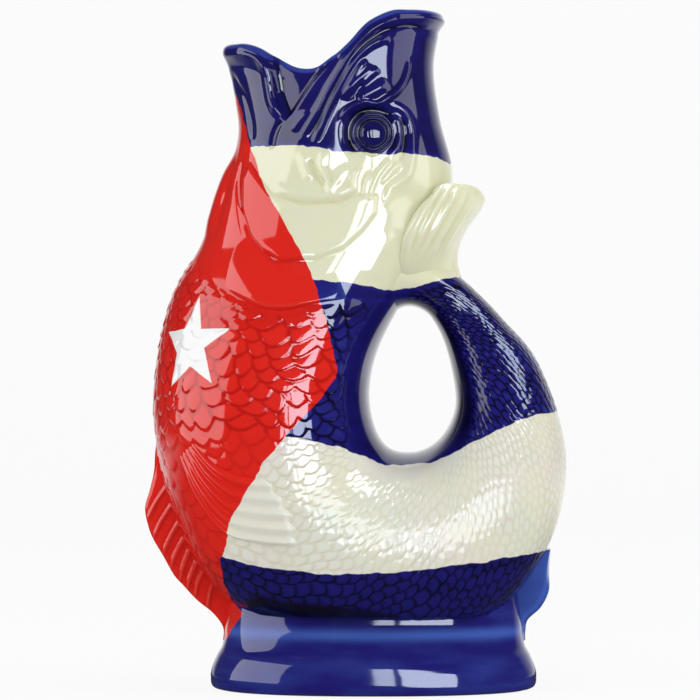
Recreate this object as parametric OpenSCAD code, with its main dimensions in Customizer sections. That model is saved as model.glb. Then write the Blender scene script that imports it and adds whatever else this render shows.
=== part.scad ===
// Gurgle jug: a slip-cast fish that stands on an oval foot. Its open mouth is the spout, and its
// hollow tail curls up to the nape as the handle and traps the air that gurgles when it pours.
// Frame: X runs from the spout (-) to the tail (+), Y across the fish, Z up from the table.

/* [Jug] */
// Height from the table to the tip of the upper jaw
jug_h = 280; // [240:1:320]
// Length from the front fin to the back of the tail
jug_l = 176; // [155:1:195]
// Width across the belly
jug_w = 114; // [98:1:130]
// Thickness of the cast wall
wall_t = 5; // [3.5:0.5:6]

/* [Mouth] */
// Depth of the two corners of the mouth below the line of the lips
corner_d = 17; // [10:1:22]
// Height of the arch in the upper jaw's rim
jaw_arch_h = 5; // [2:0.5:8]
// Height of the rolled lip round the mouth
lip_h = 1.5; // [0.5:0.1:2.5]
// Height of the rounded crown of the rim
rim_crown = 2; // [1:0.25:3]

/* [Foot] */
// Length of the foot at its widest
foot_l = 136; // [126:1:142]
// Width of the foot at its widest
foot_w = 102; // [94:1:112]
// Height of the foot up to the seat of the body
foot_h = 32; // [26:1:36]
// Thickness of the foot's wall
foot_wall_t = 6; // [4:0.5:8]
// Length of the seat on top of the foot
seat_l = 121; // [108:1:124]
// Width of the seat on top of the foot
seat_w = 80; // [70:1:86]

/* [Fins] */
// Height of the front fin above the belly
front_fin_h = 13.5; // [9:0.5:16]
// Height of the rear fin above the root of the tail
rear_fin_h = 16; // [12:0.5:20]
// Thickness of the front and rear fins between their ribs
fin_t = 4; // [3:0.25:6]
// Height of a fin's ribs
rib_h = 0.8; // [0.4:0.1:1.2]
// Height of the side fins above the flank
side_fin_h = 2.4; // [1.5:0.1:3.5]
// Height of the tail fin above the nape
tail_fin_h = 14; // [10:0.5:17]

/* [Face] */
// Diameter of the eye's outer ring
eye_d = 21.5; // [16:0.5:25]
// Height of the eye's ring
eye_ring_h = 2; // [1:0.1:3]
// Height of the gill cover's free edge
gill_h = 2.6; // [1.5:0.1:4]

/* [Hidden] */
// Points round a section, and rings along the head, the body, the tail and their cavities
sides = 40;
head_rings = 18;
body_rings = 32;
tail_rings = 14;
cavity_rings = 10;
// Overall squareness of the sections: 2 is an ellipse
squareness = 2.35;
// Slip in a luted seam between a moulded sprig and the skin under it
seam_t = 0.1;
// Thickness that a sprig's edge keeps
edge_t = 0.5;

// The fish's spine bends in a U. Each station has a point on the front outline, one on the back
// outline and a width: from the lips, down the belly, along the foot and up the tail to the nape.
// The points are shares of the jug's length and of its height above the foot.
front_shares = [
    [-0.316, 0.943], [-0.287, 0.857], [-0.288, 0.785], [-0.331, 0.700], [-0.367, 0.619],
    [-0.436, 0.529], [-0.472, 0.423], [-0.477, 0.309], [-0.433, 0.171], [-0.313, 0.026],
    [-0.070, -0.066], [0.231, -0.057], [0.432, 0.082], [0.497, 0.247], [0.437, 0.407],
    [0.340, 0.496], [0.255, 0.559]];
back_shares = [
    [0.205, 0.977], [0.184, 0.907], [0.199, 0.822], [0.229, 0.733], [0.206, 0.651],
    [0.131, 0.549], [0.056, 0.447], [0.032, 0.374], [0.043, 0.313], [0.077, 0.275],
    [0.136, 0.267], [0.190, 0.284], [0.226, 0.321], [0.236, 0.365], [0.214, 0.442],
    [0.179, 0.493], [0.131, 0.525]];
// Width of each station as a share of the belly's, and how much narrower its front is than its back
width_shares = [0.70, 0.71, 0.72, 0.755, 0.80, 0.87, 0.95, 1, 1, 0.985, 0.95, 0.895, 0.79, 0.63,
    0.475, 0.37, 0.32];
keel_shares = [0.34, 0.32, 0.30, 0.28, 0.26, 0.24, 0.22, 0.18, 0.12, 0.04, 0, 0, 0, 0, 0, 0, 0];

// Where the castings are luted together, where the tail's tip flares out to the nape and where its
// cavity ends, as shares of the way along the spine, and the same places in stations
neck_share = 0.35;
root_share = 0.775;
tip_share = 0.9375;
cavity_end_share = 0.9625;
last_station = len(front_shares) - 1;
neck_station = neck_share * last_station;
root_station = root_share * last_station;
tip_station = tip_share * last_station;

// The seat of the tail on the nape: an ellipse on the skin, along the spine and in degrees
nape_share = 0.309;
nape_reach_share = 0.031;
nape_degrees = 36;

// The rim at even angles from the nape round to the chin: how far it dips towards the corners of the
// mouth, as shares of corner_d, and how far it rises along the upper jaw, as shares of jaw_arch_h
dip_shares = [0, 0, 0, 0, 0, 0, 0, 0.55, 0.98, 0.98, 0.75, 0.38, 0.18, 0.12, 0.07, 0.04];
arch_shares = [0.86, 0.86, 0.90, 0.96, 1, 1, 0.40, 0, 0, 0, 0, 0, 0, 0, 0, 0];
// The rolled lip's distance from the rim and its width, as shares of the head's height
lip_share = 0.035;
lip_width_share = 0.03;

function smooth(t) = t * t * (3 - 2 * t);
function unit(v) = v / norm(v);
function turned(v) = [-v.y, v.x];

// A smooth curve through the points of a list, one point for each whole t
function spline(list, t) =
    let (last = len(list) - 1, i = max(0, min(last - 1, floor(t))), f = t - i,
        a = list[max(0, i - 1)], b = list[i], c = list[i + 1], d = list[min(last, i + 2)])
    (2 * b + (c - a) * f + (2 * a - 5 * b + 4 * c - d) * f * f
        + (3 * b - a - 3 * c + d) * f * f * f) / 2;

function placed(share) = [share.x * jug_l, foot_h + share.y * (jug_h - foot_h)];
function front(s) = placed(spline(front_shares, s));
function back(s) = placed(spline(back_shares, s));
function half_width(s) = spline(width_shares, s) * jug_w / 2;
function fullness(share) = pow(1 - pow(share, squareness), 1 / squareness);
function keeled(s, share) = 1 + spline(keel_shares, s) * share / 2;
function rounded(v) = sign(v) * pow(abs(v), 2 / squareness);

// The skin at a station and at an angle from the back outline, or a surface that far inside it.
// Its underside is flat where it sits on the foot.
function skin(s, angle, inset = 0) =
    let (f = front(s), b = back(s), along = unit(b - f), half = norm(b - f) / 2 - inset,
        c = rounded(cos(angle)), p = (f + b) / 2 + along * half * c,
        y = (half_width(s) - inset) * keeled(s, c) * rounded(sin(angle)))
    [p.x, y, max(p.y, foot_h + inset)];

function skin_out(s, angle) =
    let (ds = skin(s + 0.01, angle) - skin(s - 0.01, angle),
        da = skin(s, angle + 0.5) - skin(s, angle - 0.5))
    unit(cross(ds, da));

// The station of a point of the side view, found by halving, and the skin over that point
function line_side(s, p) = let (f = front(s), b = back(s)) cross(b - f, p - f);
function station_at(p, low = 0, high = 9, left = 18) =
    let (mid = (low + high) / 2)
    left == 0 ? mid : line_side(mid, p) < 0
        ? station_at(p, mid, high, left - 1) : station_at(p, low, mid, left - 1);
function flank(p) =
    let (s = station_at(p), f = front(s), b = back(s), half = norm(b - f) / 2,
        share = max(-1, min(1, (p - (f + b) / 2) * unit(b - f) / half)))
    [p.x, half_width(s) * keeled(s, share) * fullness(abs(share)), p.y];
// The same point, lifted off the skin along its normal
function lifted(p, h) =
    let (step = wall_t / 10, at = flank(p),
        dx = flank(p + [step, 0]) - flank(p - [step, 0]),
        dz = flank(p + [0, step]) - flank(p - [0, step]))
    at + unit(cross(dz, dx)) * h;

// The underside of the belly at a distance from the plane of symmetry, and its height over a point.
// The belly stands over the foot between two stations of the front outline.
over_foot_stations = [8, root_station];
function belly(s, y) =
    let (f = front(s), b = back(s))
    (f + b) / 2 - (b - f) / 2 * fullness(abs(y) / half_width(s));
function belly_station(p, range = over_foot_stations, left = 18) =
    let (mid = (range[0] + range[1]) / 2)
    left == 0 ? mid : belly(mid, p.y).x < p.x
        ? belly_station(p, [mid, range[1]], left - 1) : belly_station(p, [range[0], mid], left - 1);
function underside(p) = max(belly(belly_station(p), p.y).y, foot_h);

// Rings of points joined into one solid: as a loop when closed, or with both ends capped
module ring_solid(rings, capped = false) {
    m = len(rings);
    n = len(rings[0]);
    points = [for (ring = rings) each ring];
    ends = capped ? [for (ring = [rings[0], rings[m - 1]]) [for (p = ring) 1 / n] * ring] : [];
    walls = [for (i = [0 : capped ? m - 2 : m - 1], j = [0 : n - 1])
        let (k = (i + 1) % m, l = (j + 1) % n)
        each [[i * n + j, k * n + l, k * n + j], [i * n + j, i * n + l, k * n + l]]];
    caps = capped ? [for (j = [0 : n - 1]) let (l = (j + 1) % n, top = (m - 1) * n)
        each [[m * n, l, j], [m * n + 1, top + j, top + l]]] : [];
    polyhedron(concat(points, ends), concat(walls, caps));
}

// A lower and an upper sheet of points, joined along all four edges
module slab_solid(lower, upper) {
    m = len(lower);
    n = len(lower[0]);
    points = concat([for (row = lower) each row], [for (row = upper) each row]);
    up = m * n;
    sheet = [for (i = [0 : m - 2], j = [0 : n - 2]) let (k = i * n + j)
        each [[k, k + n, k + n + 1], [k, k + n + 1, k + 1]]];
    lid = [for (t = sheet) [up + t[0], up + t[2], up + t[1]]];
    border = concat([for (j = [0 : n - 1]) j], [for (i = [1 : m - 1]) i * n + n - 1],
        [for (j = [n - 2 : -1 : 0]) (m - 1) * n + j], [for (i = [m - 2 : -1 : 1]) i * n]);
    edge = [for (i = [0 : len(border) - 1])
        let (a = border[i], b = border[(i + 1) % len(border)])
        each [[a, b, up + b], [a, up + b, up + a]]];
    polyhedron(points, concat(sheet, lid, edge));
}

function section(s, inset = 0) = [for (j = [0 : sides - 1]) skin(s, j * 360 / sides, inset)];
function sections(from, to, count, inset = 0) =
    [for (i = [0 : count]) section(from + (to - from) * i / count, inset)];
function reversed(list) = [for (i = [len(list) - 1 : -1 : 0]) list[i]];

// How far down the stations the rim dips at an angle, for the corners of the mouth, and how far
// it rises for the arch of the upper jaw
function round_rim(shares, angle) =
    spline(shares, min(angle, 360 - angle) / 180 * (len(shares) - 1));
function rim_station(angle) =
    corner_d / norm(front(1) - front(0)) * round_rim(dip_shares, angle);
function jaw_arch(angle) = jaw_arch_h * round_rim(arch_shares, angle);
function hump(off, slope) = exp(-pow(off / slope, 2));
function head_ring(t, inset, rise = 0) = [for (j = [0 : sides - 1])
    let (angle = j * 360 / sides, top = rim_station(angle))
    skin(top + (neck_station - top) * t, angle, inset)
        + [0, 0, rise + jaw_arch(angle) * pow(1 - t, 3)]];

module head() {
    outer = [for (i = [0 : head_rings]) let (t = pow(i / head_rings, 1.5))
        head_ring(t, -lip_h * hump(t - lip_share, lip_width_share) * (i < head_rings ? 1 : 0))];
    inner = [for (i = [cavity_rings : -1 : 0]) head_ring(i / cavity_rings, wall_t)];
    color("midnightblue")
        ring_solid(concat(outer, inner, [head_ring(0, wall_t / 2, rim_crown)]));
}

module body() {
    outer = sections(neck_station, root_station, body_rings);
    inner = sections(neck_station, root_station, body_rings / 2, wall_t);
    color("ivory") ring_solid(concat(outer, reversed(inner)));
}

// A ring on the nape, as a share of the tail's seat, and the rings that flare out to that seat
function nape_ring(share) = [for (j = [0 : sides - 1]) let (angle = j * 360 / sides,
    s = last_station * (nape_share + nape_reach_share * share * cos(angle)),
    turn = nape_degrees * share * sin(angle))
    skin(s, turn) + skin_out(s, turn) * seam_t];
function tail_ring(s) = s <= tip_station ? section(s) :
    let (t = pow((s - tip_station) / (last_station - tip_station), 2.5))
    section(s) * (1 - t) + nape_ring(1) * t;

module tail() {
    inner = sections(cavity_end_share * last_station, root_station, cavity_rings, wall_t);
    outer = [for (i = [0 : tail_rings])
        tail_ring(root_station + (last_station - root_station) * i / tail_rings)];
    // The seat closes in rings towards its middle
    seat_shares = [0.7, 0.4, 0.1];
    seat = [for (share = seat_shares) nape_ring(share)];
    color("midnightblue") ring_solid(concat(inner, outer, seat), capped = true);
}

// The foot's outline in plan at an angle, as a share of the way in from the bead to the seat. It
// stands a little nearer the tail than the spout.
foot_x_share = 0.041;
function foot_oval(angle, share, inset = 0) =
    [jug_l * foot_x_share + ((foot_l * (1 - share) + seat_l * share) / 2 - inset) * rounded(cos(angle)),
        ((foot_w * (1 - share) + seat_w * share) / 2 - inset) * rounded(sin(angle))];
// A point of the foot: it rises to the belly where the belly curves up over the ends of the foot
function foot_point(angle, q, inset = 0) =
    let (p = foot_oval(angle, q.x, inset), rise = underside(foot_oval(angle, 1, inset)) - foot_h)
    [p.x, p.y, q.y * (foot_h - seam_t) + rise * pow(q.y, 4)];

// The way in from the bead to the seat, and the height: seat, cove, waist, bead and rim
profile_shares = [[1, 1], [0.88, 0.88], [0.76, 0.73], [0.63, 0.60], [0.46, 0.49], [0.26, 0.39],
    [0.09, 0.29], [0, 0.19], [0, 0.09], [0.12, 0.03], [0.45, 0]];
bore_shares = [[0.45, 0], [0.09, 0.25], [0.76, 0.70], [1, 1]];

module foot() {
    function foot_ring(q, inset) = [for (j = [0 : sides - 1]) foot_point(j * 360 / sides, q, inset)];
    color("navy") ring_solid(concat([for (q = profile_shares) foot_ring(q, 0)],
        [for (q = bore_shares) foot_ring(q, foot_wall_t)]));
}

// A ribbed blade in the plane of symmetry, between the points of its root and of its free edge in
// the side view. The blade thins towards the edge.
module median_fin(root, edge, ribs) {
    rows = len(root) - 1;
    steps = 3;
    thinning_share = 1 / 3;
    function blade(i, j, side) =
        let (v = j / steps, p = root[i] * (1 - v) + edge[i] * v,
            rib = rib_h * (1 + cos(360 * ribs * i / rows)) / 2 * v)
        [p.x, side * (fin_t / 2 * (1 - v * thinning_share) + rib), p.y];
    slab_solid([for (i = [0 : rows]) [for (j = [0 : steps]) blade(i, j, -1)]],
        [for (i = [0 : rows]) [for (j = [0 : steps]) blade(i, j, 1)]]);
}

// The cove at an end of the foot, from its seat down to its waist, as seen from the side
function cove(angle) = [for (i = [0 : 2]) let (p = foot_point(angle, profile_shares[i]))
    [p.x + seam_t * cos(angle), p.z]];
// The station of the belly where an end of the foot's seat meets it
function seat_station(angle) = belly_station(foot_oval(angle, 1));

// The front fin stands on the breast and, below it, on the cove of the foot. Its ribs lean.
module front_fin() {
    // How far up the breast the fin reaches, and its height from there down to the waist
    top_station = 7.4;
    height_shares = [0.05, 0.8, 1, 0.95, 0.75];
    cove_height_shares = [[-0.34, -0.61], [-0.17, -0.31], [-0.07, 0]];
    ribs = 11;
    rows = 4 * ribs;
    lean_share = 0.3;
    function station(i) = top_station + (seat_station(180) - top_station) * i / rows;
    function out(s) = unit(turned(front(s - 0.05) - front(s + 0.05)));
    function height(i) = spline(height_shares, i / rows * (len(height_shares) - 1)) * front_fin_h;
    root = [for (i = [0 : rows]) front(station(i))];
    edge = [for (i = [0 : rows]) let (o = out(station(i)))
        root[i] + unit(o + turned(o) * lean_share) * height(i)];
    color("crimson") median_fin(concat(root, cove(180)),
        concat(edge, cove(180) + cove_height_shares * front_fin_h), ribs);
}

// The rear fin stands on the cove of the foot and on the belly above it, up to the tail's root
module rear_fin() {
    // Its height from the waist up
    cove_height_shares = [[0.15, 0], [0.39, 0], [0.79, -0.22]];
    height_shares = [0.80, 0.54, 0.31, 0.13, 0.03, 0.02];
    ribs = 4;
    rows = 3 * ribs;
    function height(i) = spline(height_shares, i / rows * (len(height_shares) - 1)) * rear_fin_h;
    low = reversed(cove(0));
    seat = seat_station(0);
    root = [for (i = [0 : rows]) front(seat + (root_station - seat) * i / rows)];
    edge = [for (i = [0 : rows]) root[i] + [height(i), 0]];
    color("navy")
        median_fin(concat(low, root), concat(low + cove_height_shares * rear_fin_h, edge), ribs);
}

// The tail fin: a ribbed fan that starts above the tail's seat and flares out to its free edge
module tail_fin() {
    rows = 8;
    ribs = 7;
    steps = 3 * ribs;
    low_station = 4.42;
    high_station = 3.25;
    spread_degrees = [46, 34];
    // How far the free edge rounds off at its two sides, and how far the fan drops to them
    rounding_share = 0.45;
    droop_share = 0.7;
    // Height of the fan above the nape, from the tail's end up to the free edge
    height_shares = [1, 0.8, 0.75, 0.9, 1, 0.8];
    function fan(i, j, top) =
        let (t = i / rows, v = 1 - 2 * j / steps,
            s = low_station + (high_station - low_station) * t * (1 - rounding_share * v * v),
            turn = v * (spread_degrees[0] + (spread_degrees[1] - spread_degrees[0]) * smooth(t)),
            h = spline(height_shares, t * (len(height_shares) - 1)) * (1 - droop_share * v * v),
            rib = rib_h * (1 + cos(180 * ribs * v)) * t)
        skin(s, turn) + skin_out(s, turn) * (top ? edge_t + h * tail_fin_h + rib : seam_t);
    color("ivory")
        slab_solid([for (i = [0 : rows]) [for (j = [0 : steps]) fan(i, j, false)]],
            [for (i = [0 : rows]) [for (j = [0 : steps]) fan(i, j, true)]]);
}

// A sprig on the near flank, at y < 0, or on the far one: side is -1 or 1
module on_flank(side) {
    mirror([0, side < 0 ? 1 : 0, 0]) children();
}

// The side fin: a fan whose rays sweep down from the breast and bend back along the flank
module side_fin(side) {
    rows = 6;
    ribs = 7;
    steps = 3 * ribs;
    // Upper and lower edges of the fan in the side view, from its root to its tips
    upper_shares = [[-0.375, 0.289], [-0.315, 0.240], [-0.218, 0.232]];
    lower_shares = [[-0.417, 0.278], [-0.343, 0.169], [-0.137, 0.109]];
    function ray(i, j, top) =
        let (t = i / rows, v = j / steps, k = t * (len(upper_shares) - 1),
            p = placed(spline(upper_shares, k) * (1 - v) + spline(lower_shares, k) * v),
            h = edge_t + side_fin_h * smooth(min(1, 2 * t)) * sin(180 * v)
                + rib_h * (1 - cos(360 * ribs * v)) / 2 * t)
        lifted(p, top ? h : seam_t);
    color("ivory") on_flank(side)
        slab_solid([for (i = [0 : rows]) [for (j = [0 : steps]) ray(i, j, false)]],
            [for (i = [0 : rows]) [for (j = [0 : steps]) ray(i, j, true)]]);
}

// The gill cover: a smooth plate behind the cheek that stands proud along its free edge
module gill_cover(side) {
    rows = 8;
    steps = 12;
    // Front and free edges of the plate in the side view, from the nape down to the throat
    cheek_shares = [[0.057, 0.600], [-0.100, 0.567], [-0.194, 0.588], [-0.289, 0.693]];
    free_shares = [[0.069, 0.527], [-0.070, 0.516], [-0.200, 0.502], [-0.328, 0.542]];
    // The share of the free edge, from the nape, that lies flat on the neck
    flat_share = 0.25;
    function plate(i, j, top) =
        let (t = i / rows, v = j / steps, k = v * (len(cheek_shares) - 1),
            p = placed(spline(cheek_shares, k) * (1 - t) + spline(free_shares, k) * t),
            h = edge_t + gill_h * smooth(t) * sin(180 * max(0, v - flat_share)))
        lifted(p, top ? h : seam_t);
    color("ivory") on_flank(side)
        slab_solid([for (i = [0 : rows]) [for (j = [0 : steps]) plate(i, j, false)]],
            [for (i = [0 : rows]) [for (j = [0 : steps]) plate(i, j, true)]]);
}

// The eye: a ring round a domed pupil
module eye(side) {
    facets = 20;
    eye_share = [0.027, 0.797];
    // Radius and height across the eye, from the edge in: edge, ring, groove and pupil
    radius_shares = [1, 0.86, 0.68, 0.50, 0.34, 0.15];
    height_shares = [0.15, 0.8, 0.9, 0.25, 0.7, 1];
    function circle_at(share, h) = [for (j = [0 : facets - 1]) let (angle = j * 360 / facets)
        lifted(placed(eye_share) + eye_d / 2 * share * [cos(angle), sin(angle)], h)];
    base = [for (share = reversed(radius_shares)) circle_at(share, seam_t)];
    top = [for (i = [0 : len(radius_shares) - 1])
        circle_at(radius_shares[i], edge_t + eye_ring_h * height_shares[i])];
    color("midnightblue") on_flank(side) ring_solid(concat(base, top), capped = true);
}

foot();
body();
head();
tail();
tail_fin();
front_fin();
rear_fin();
side_fin(-1);  // left_side_fin
side_fin(1);  // right_side_fin
gill_cover(-1);  // left_gill_cover
gill_cover(1);  // right_gill_cover
eye(-1);  // left_eye
eye(1);  // right_eye
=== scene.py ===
"""Dresses the gurgle jug: a glazed earthenware fish that stands on an oval foot.

Every surface is worked out as a grid of points in millimetres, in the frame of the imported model.
Modelled folds and painted edges are drawn in the photograph's pixels and carried to both flanks.
"""

import logging
import math
from dataclasses import dataclass, field, replace
from enum import Enum
from typing import Any, ClassVar, Mapping, Optional, Sequence, Union

import bpy
import numpy as np
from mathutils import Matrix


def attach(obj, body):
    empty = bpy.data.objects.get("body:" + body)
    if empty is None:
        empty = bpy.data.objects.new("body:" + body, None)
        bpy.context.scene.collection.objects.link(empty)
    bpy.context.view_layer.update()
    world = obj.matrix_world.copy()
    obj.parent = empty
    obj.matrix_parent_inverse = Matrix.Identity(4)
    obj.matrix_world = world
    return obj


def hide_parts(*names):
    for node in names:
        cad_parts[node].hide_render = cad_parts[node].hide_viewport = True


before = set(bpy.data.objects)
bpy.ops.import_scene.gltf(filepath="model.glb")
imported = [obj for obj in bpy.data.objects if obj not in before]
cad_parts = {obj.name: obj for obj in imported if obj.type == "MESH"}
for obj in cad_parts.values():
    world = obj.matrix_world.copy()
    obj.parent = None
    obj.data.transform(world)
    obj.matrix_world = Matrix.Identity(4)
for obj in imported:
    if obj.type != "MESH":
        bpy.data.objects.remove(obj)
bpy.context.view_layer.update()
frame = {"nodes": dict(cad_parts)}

MM = 0.001
# How far a piece reaches under the skin of its neighbour, in millimetres, so that no gap shows
TUCK = 0.5
# A distance past every painted edge, in millimetres
BEYOND = 99.0
# Rows past the end of a grid that only steady its normals
SPARE = 2
# The least length that is divided by
TINY = 1e-9
LOG = logging.getLogger("jug")
Grid = np.ndarray
Pair = tuple[float, float]
Pixels = Sequence[Pair]
Names = tuple[str, str, str]
Tree = bpy.types.NodeTree
Socket = bpy.types.NodeSocket


class Flank(Enum):
    """A side of the fish: the near one faces the camera."""

    NEAR = -1
    FAR = 1

    @property
    def side(self) -> str:
        """The word that the side's nodes begin with."""
        return "left" if self is Flank.NEAR else "right"

    @property
    def mirror(self) -> Grid:
        """What turns points of the flank where y is positive into points of this one."""
        return np.array([1.0, self.value, 1.0])


def smooth_step(t: Grid) -> Grid:
    """Eases from 0 to 1: three t squared less two t cubed, with t held between 0 and 1."""
    t = np.clip(t, 0.0, 1.0)
    return t * t * (3.0 - 2.0 * t)


def hump(offset: Grid, width: Union[float, Grid]) -> Grid:
    """A bell of height 1: e to the minus square of the offset over the width."""
    return np.exp(-np.square(offset / width))


def spline(points: Grid, t: Grid) -> Grid:
    """Runs a smooth curve through points, one point for each whole t.

    Args:
        points: Values or rows of values.
        t: Where to read the curve.

    Returns:
        The Catmull-Rom cubic through the points before and after each t.
    """
    last = len(points) - 1
    i = np.clip(np.floor(t).astype(int), 0, last - 1)
    f = t - i
    if points.ndim > 1:
        f = f[..., None]
    a, b = points[np.maximum(i - 1, 0)], points[i]
    c, d = points[i + 1], points[np.minimum(i + 2, last)]
    cubic = (3 * b - a - 3 * c + d) * f**3
    return (2 * b + (c - a) * f + (2 * a - 5 * b + 4 * c - d) * f**2 + cubic) / 2


def read_along(points: Any, t: Grid) -> Grid:
    """Reads the smooth curve through points, at shares of the way along it."""
    knots = np.array(points, float)
    return spline(knots, t * (len(knots) - 1))


def crossed(rows: Grid, columns: Grid) -> tuple[Grid, Grid]:
    """Spreads a column of values and a row of values over the grid that they span."""
    return rows + 0 * columns, columns + 0 * rows


def unit(vectors: Grid) -> Grid:
    """Scales each vector to length 1."""
    return vectors / np.maximum(np.linalg.norm(vectors, axis=-1, keepdims=True), TINY)


def facing(normals: Grid, towards: Grid) -> Grid:
    """Turns normals round together where, on the whole, they point against a direction."""
    return normals * np.sign(np.sum(normals * towards))


def sheet_normals(points: Grid) -> Grid:
    """The normals of an open grid: the cross product of the steps along its rows and its columns."""
    return unit(np.cross(np.gradient(points, axis=0), np.gradient(points, axis=1)))


def grid_normals(points: Grid) -> Grid:
    """Finds the normals of a grid that is closed along its columns.

    Args:
        points: Rows by columns by 3.

    Returns:
        The cross product of the steps along the rows and along the columns, at length 1.
    """
    along = np.gradient(points, axis=0)
    across = np.roll(points, -1, axis=1) - np.roll(points, 1, axis=1)
    return unit(np.cross(along, across))


def outward(points: Grid) -> Grid:
    """The normals of a grid that is closed along its columns, away from the middle of each row."""
    return facing(grid_normals(points), points - points.mean(axis=1, keepdims=True))


def hollows(points: Grid, normals: Grid, reach: int, depth: float) -> Grid:
    """Tells grooves from crests on a grid that is closed along its columns.

    Args:
        points: Rows by columns by 3.
        normals: The grid's outward normals.
        reach: How many times the grid is smoothed.
        depth: The depth in millimetres that counts as 1.

    Returns:
        How far the smoothed grid stands above the grid itself: 1 in a groove, -1 on a crest.
    """
    soft = points
    for _ in range(reach):
        soft = (np.roll(soft, 1, axis=1) + 2 * soft + np.roll(soft, -1, axis=1)) / 4
        ends = np.concatenate([soft[:1], soft, soft[-1:]])
        soft = (ends[:-2] + 2 * ends[1:-1] + ends[2:]) / 4
    return np.clip(np.sum((soft - points) * normals, axis=-1) / depth, -1.0, 1.0)


def nearest_on_line(at: Grid, line: Grid) -> tuple[Grid, Grid]:
    """Measures points against a line of straight steps.

    Args:
        at: Points in the plane.
        line: The ends of the line's steps.

    Returns:
        Each point's distance from the line, and the share of the line's steps at its nearest place.
    """
    best = np.full(len(at), np.inf)
    where = np.zeros(len(at))
    steps = len(line) - 1
    for k in range(steps):
        start, step = line[k], line[k + 1] - line[k]
        t = np.clip((at - start) @ step / max(float(step @ step), TINY), 0.0, 1.0)
        distance = np.linalg.norm(at - start - t[:, None] * step, axis=1)
        closer = distance < best
        best = np.where(closer, distance, best)
        where = np.where(closer, (k + t) / steps, where)
    return best, where


def inside_outline(at: Grid, outline: Pixels) -> Grid:
    """Measures how far points lie inside a closed outline.

    Args:
        at: Points in the plane.
        outline: Corners of the outline.

    Returns:
        The distance from the outline, negative outside, by counting the sides that a ray crosses.
    """
    closed = np.array([*outline, outline[0]], float)
    distance, _ = nearest_on_line(at, closed)
    inside = np.zeros(len(at), bool)
    for (x0, y0), (x1, y1) in zip(closed[:-1], closed[1:]):
        spans = (y0 > at[:, 1]) != (y1 > at[:, 1])
        rise = y1 - y0 if y1 != y0 else TINY
        inside ^= spans & (at[:, 0] < x0 + (x1 - x0) * (at[:, 1] - y0) / rise)
    return np.where(inside, distance, -distance)


@dataclass(frozen=True)
class PhotoView:
    """The camera of the photograph: level, square to the near flank.

    Its focal length is in pixels, and its distance and target in millimetres. The flanks are nearer
    than the target, at a share of its distance.
    """

    frame: float = 700.0
    focal: float = 3890.0
    distance: float = 1626.0
    flank_share: float = 0.975
    target: tuple[float, float, float] = (-2.6, 0.0, 140.8)

    @property
    def pixel(self) -> float:
        """The size of a pixel on the flanks, in millimetres."""
        return self.flank_share * self.distance / self.focal

    @property
    def middle(self) -> Grid:
        """The target's x and z."""
        return np.array(self.target)[::2]

    def pixels(self, points: Grid) -> Grid:
        """Finds points of the near flank, or mirrored ones: offsets times focal length over distance."""
        scale = self.focal / (self.distance - np.abs(points[..., 1:2]))
        return self.frame / 2 + (points[..., ::2] - self.middle) * (1, -1) * scale

    def side_view(self, at: Grid, depth: Any = 0.0) -> Grid:
        """Finds the x and z behind pixels, at a distance in front of the plane of symmetry."""
        scale = (self.distance - depth) / self.focal * np.ones(at.shape[:-1])
        return self.middle + (at - self.frame / 2) * (1, -1) * scale[..., None]


VIEW = PhotoView()


@dataclass(frozen=True)
class Fold:
    """A modelled ridge, or a groove where its height is negative, along a line of pixels.

    Its width and height are in millimetres, and its height tapers at both ends.
    """

    line: Pixels
    width: float
    height: float
    taper: float = 0.18
    fine_steps: ClassVar[int] = 5
    reach: ClassVar[float] = 3.0
    bluntness: ClassVar[float] = 0.15

    def relief(self, at: Grid) -> Grid:
        """Raises the fold under points.

        Args:
            at: Points in pixels.

        Returns:
            Heights: a bell across the line, eased down at the line's ends, and 0 out of its reach.
        """
        line = read_along(self.line, np.linspace(0, 1, (len(self.line) - 1) * self.fine_steps + 1))
        reach = self.reach * self.width / VIEW.pixel
        near = np.all((at > line.min(0) - reach) & (at < line.max(0) + reach), axis=1)
        out = np.zeros(len(at))
        distance, where = nearest_on_line(at[near], line)
        ends = smooth_step(np.minimum(where, 1 - where) / self.taper + self.bluntness)
        out[near] = self.height * hump(distance * VIEW.pixel, self.width) * ends
        return out


@dataclass(frozen=True)
class Plate:
    """A raised plate, or a sunk one where its height is negative, inside an outline of pixels."""

    outline: Pixels
    ramp: float
    height: float

    def relief(self, at: Grid) -> Grid:
        """The height over each point, which eases in over the ramp from the outline."""
        inside = inside_outline(at, self.outline) * VIEW.pixel
        return self.height * smooth_step(inside / self.ramp + 0.5)


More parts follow.
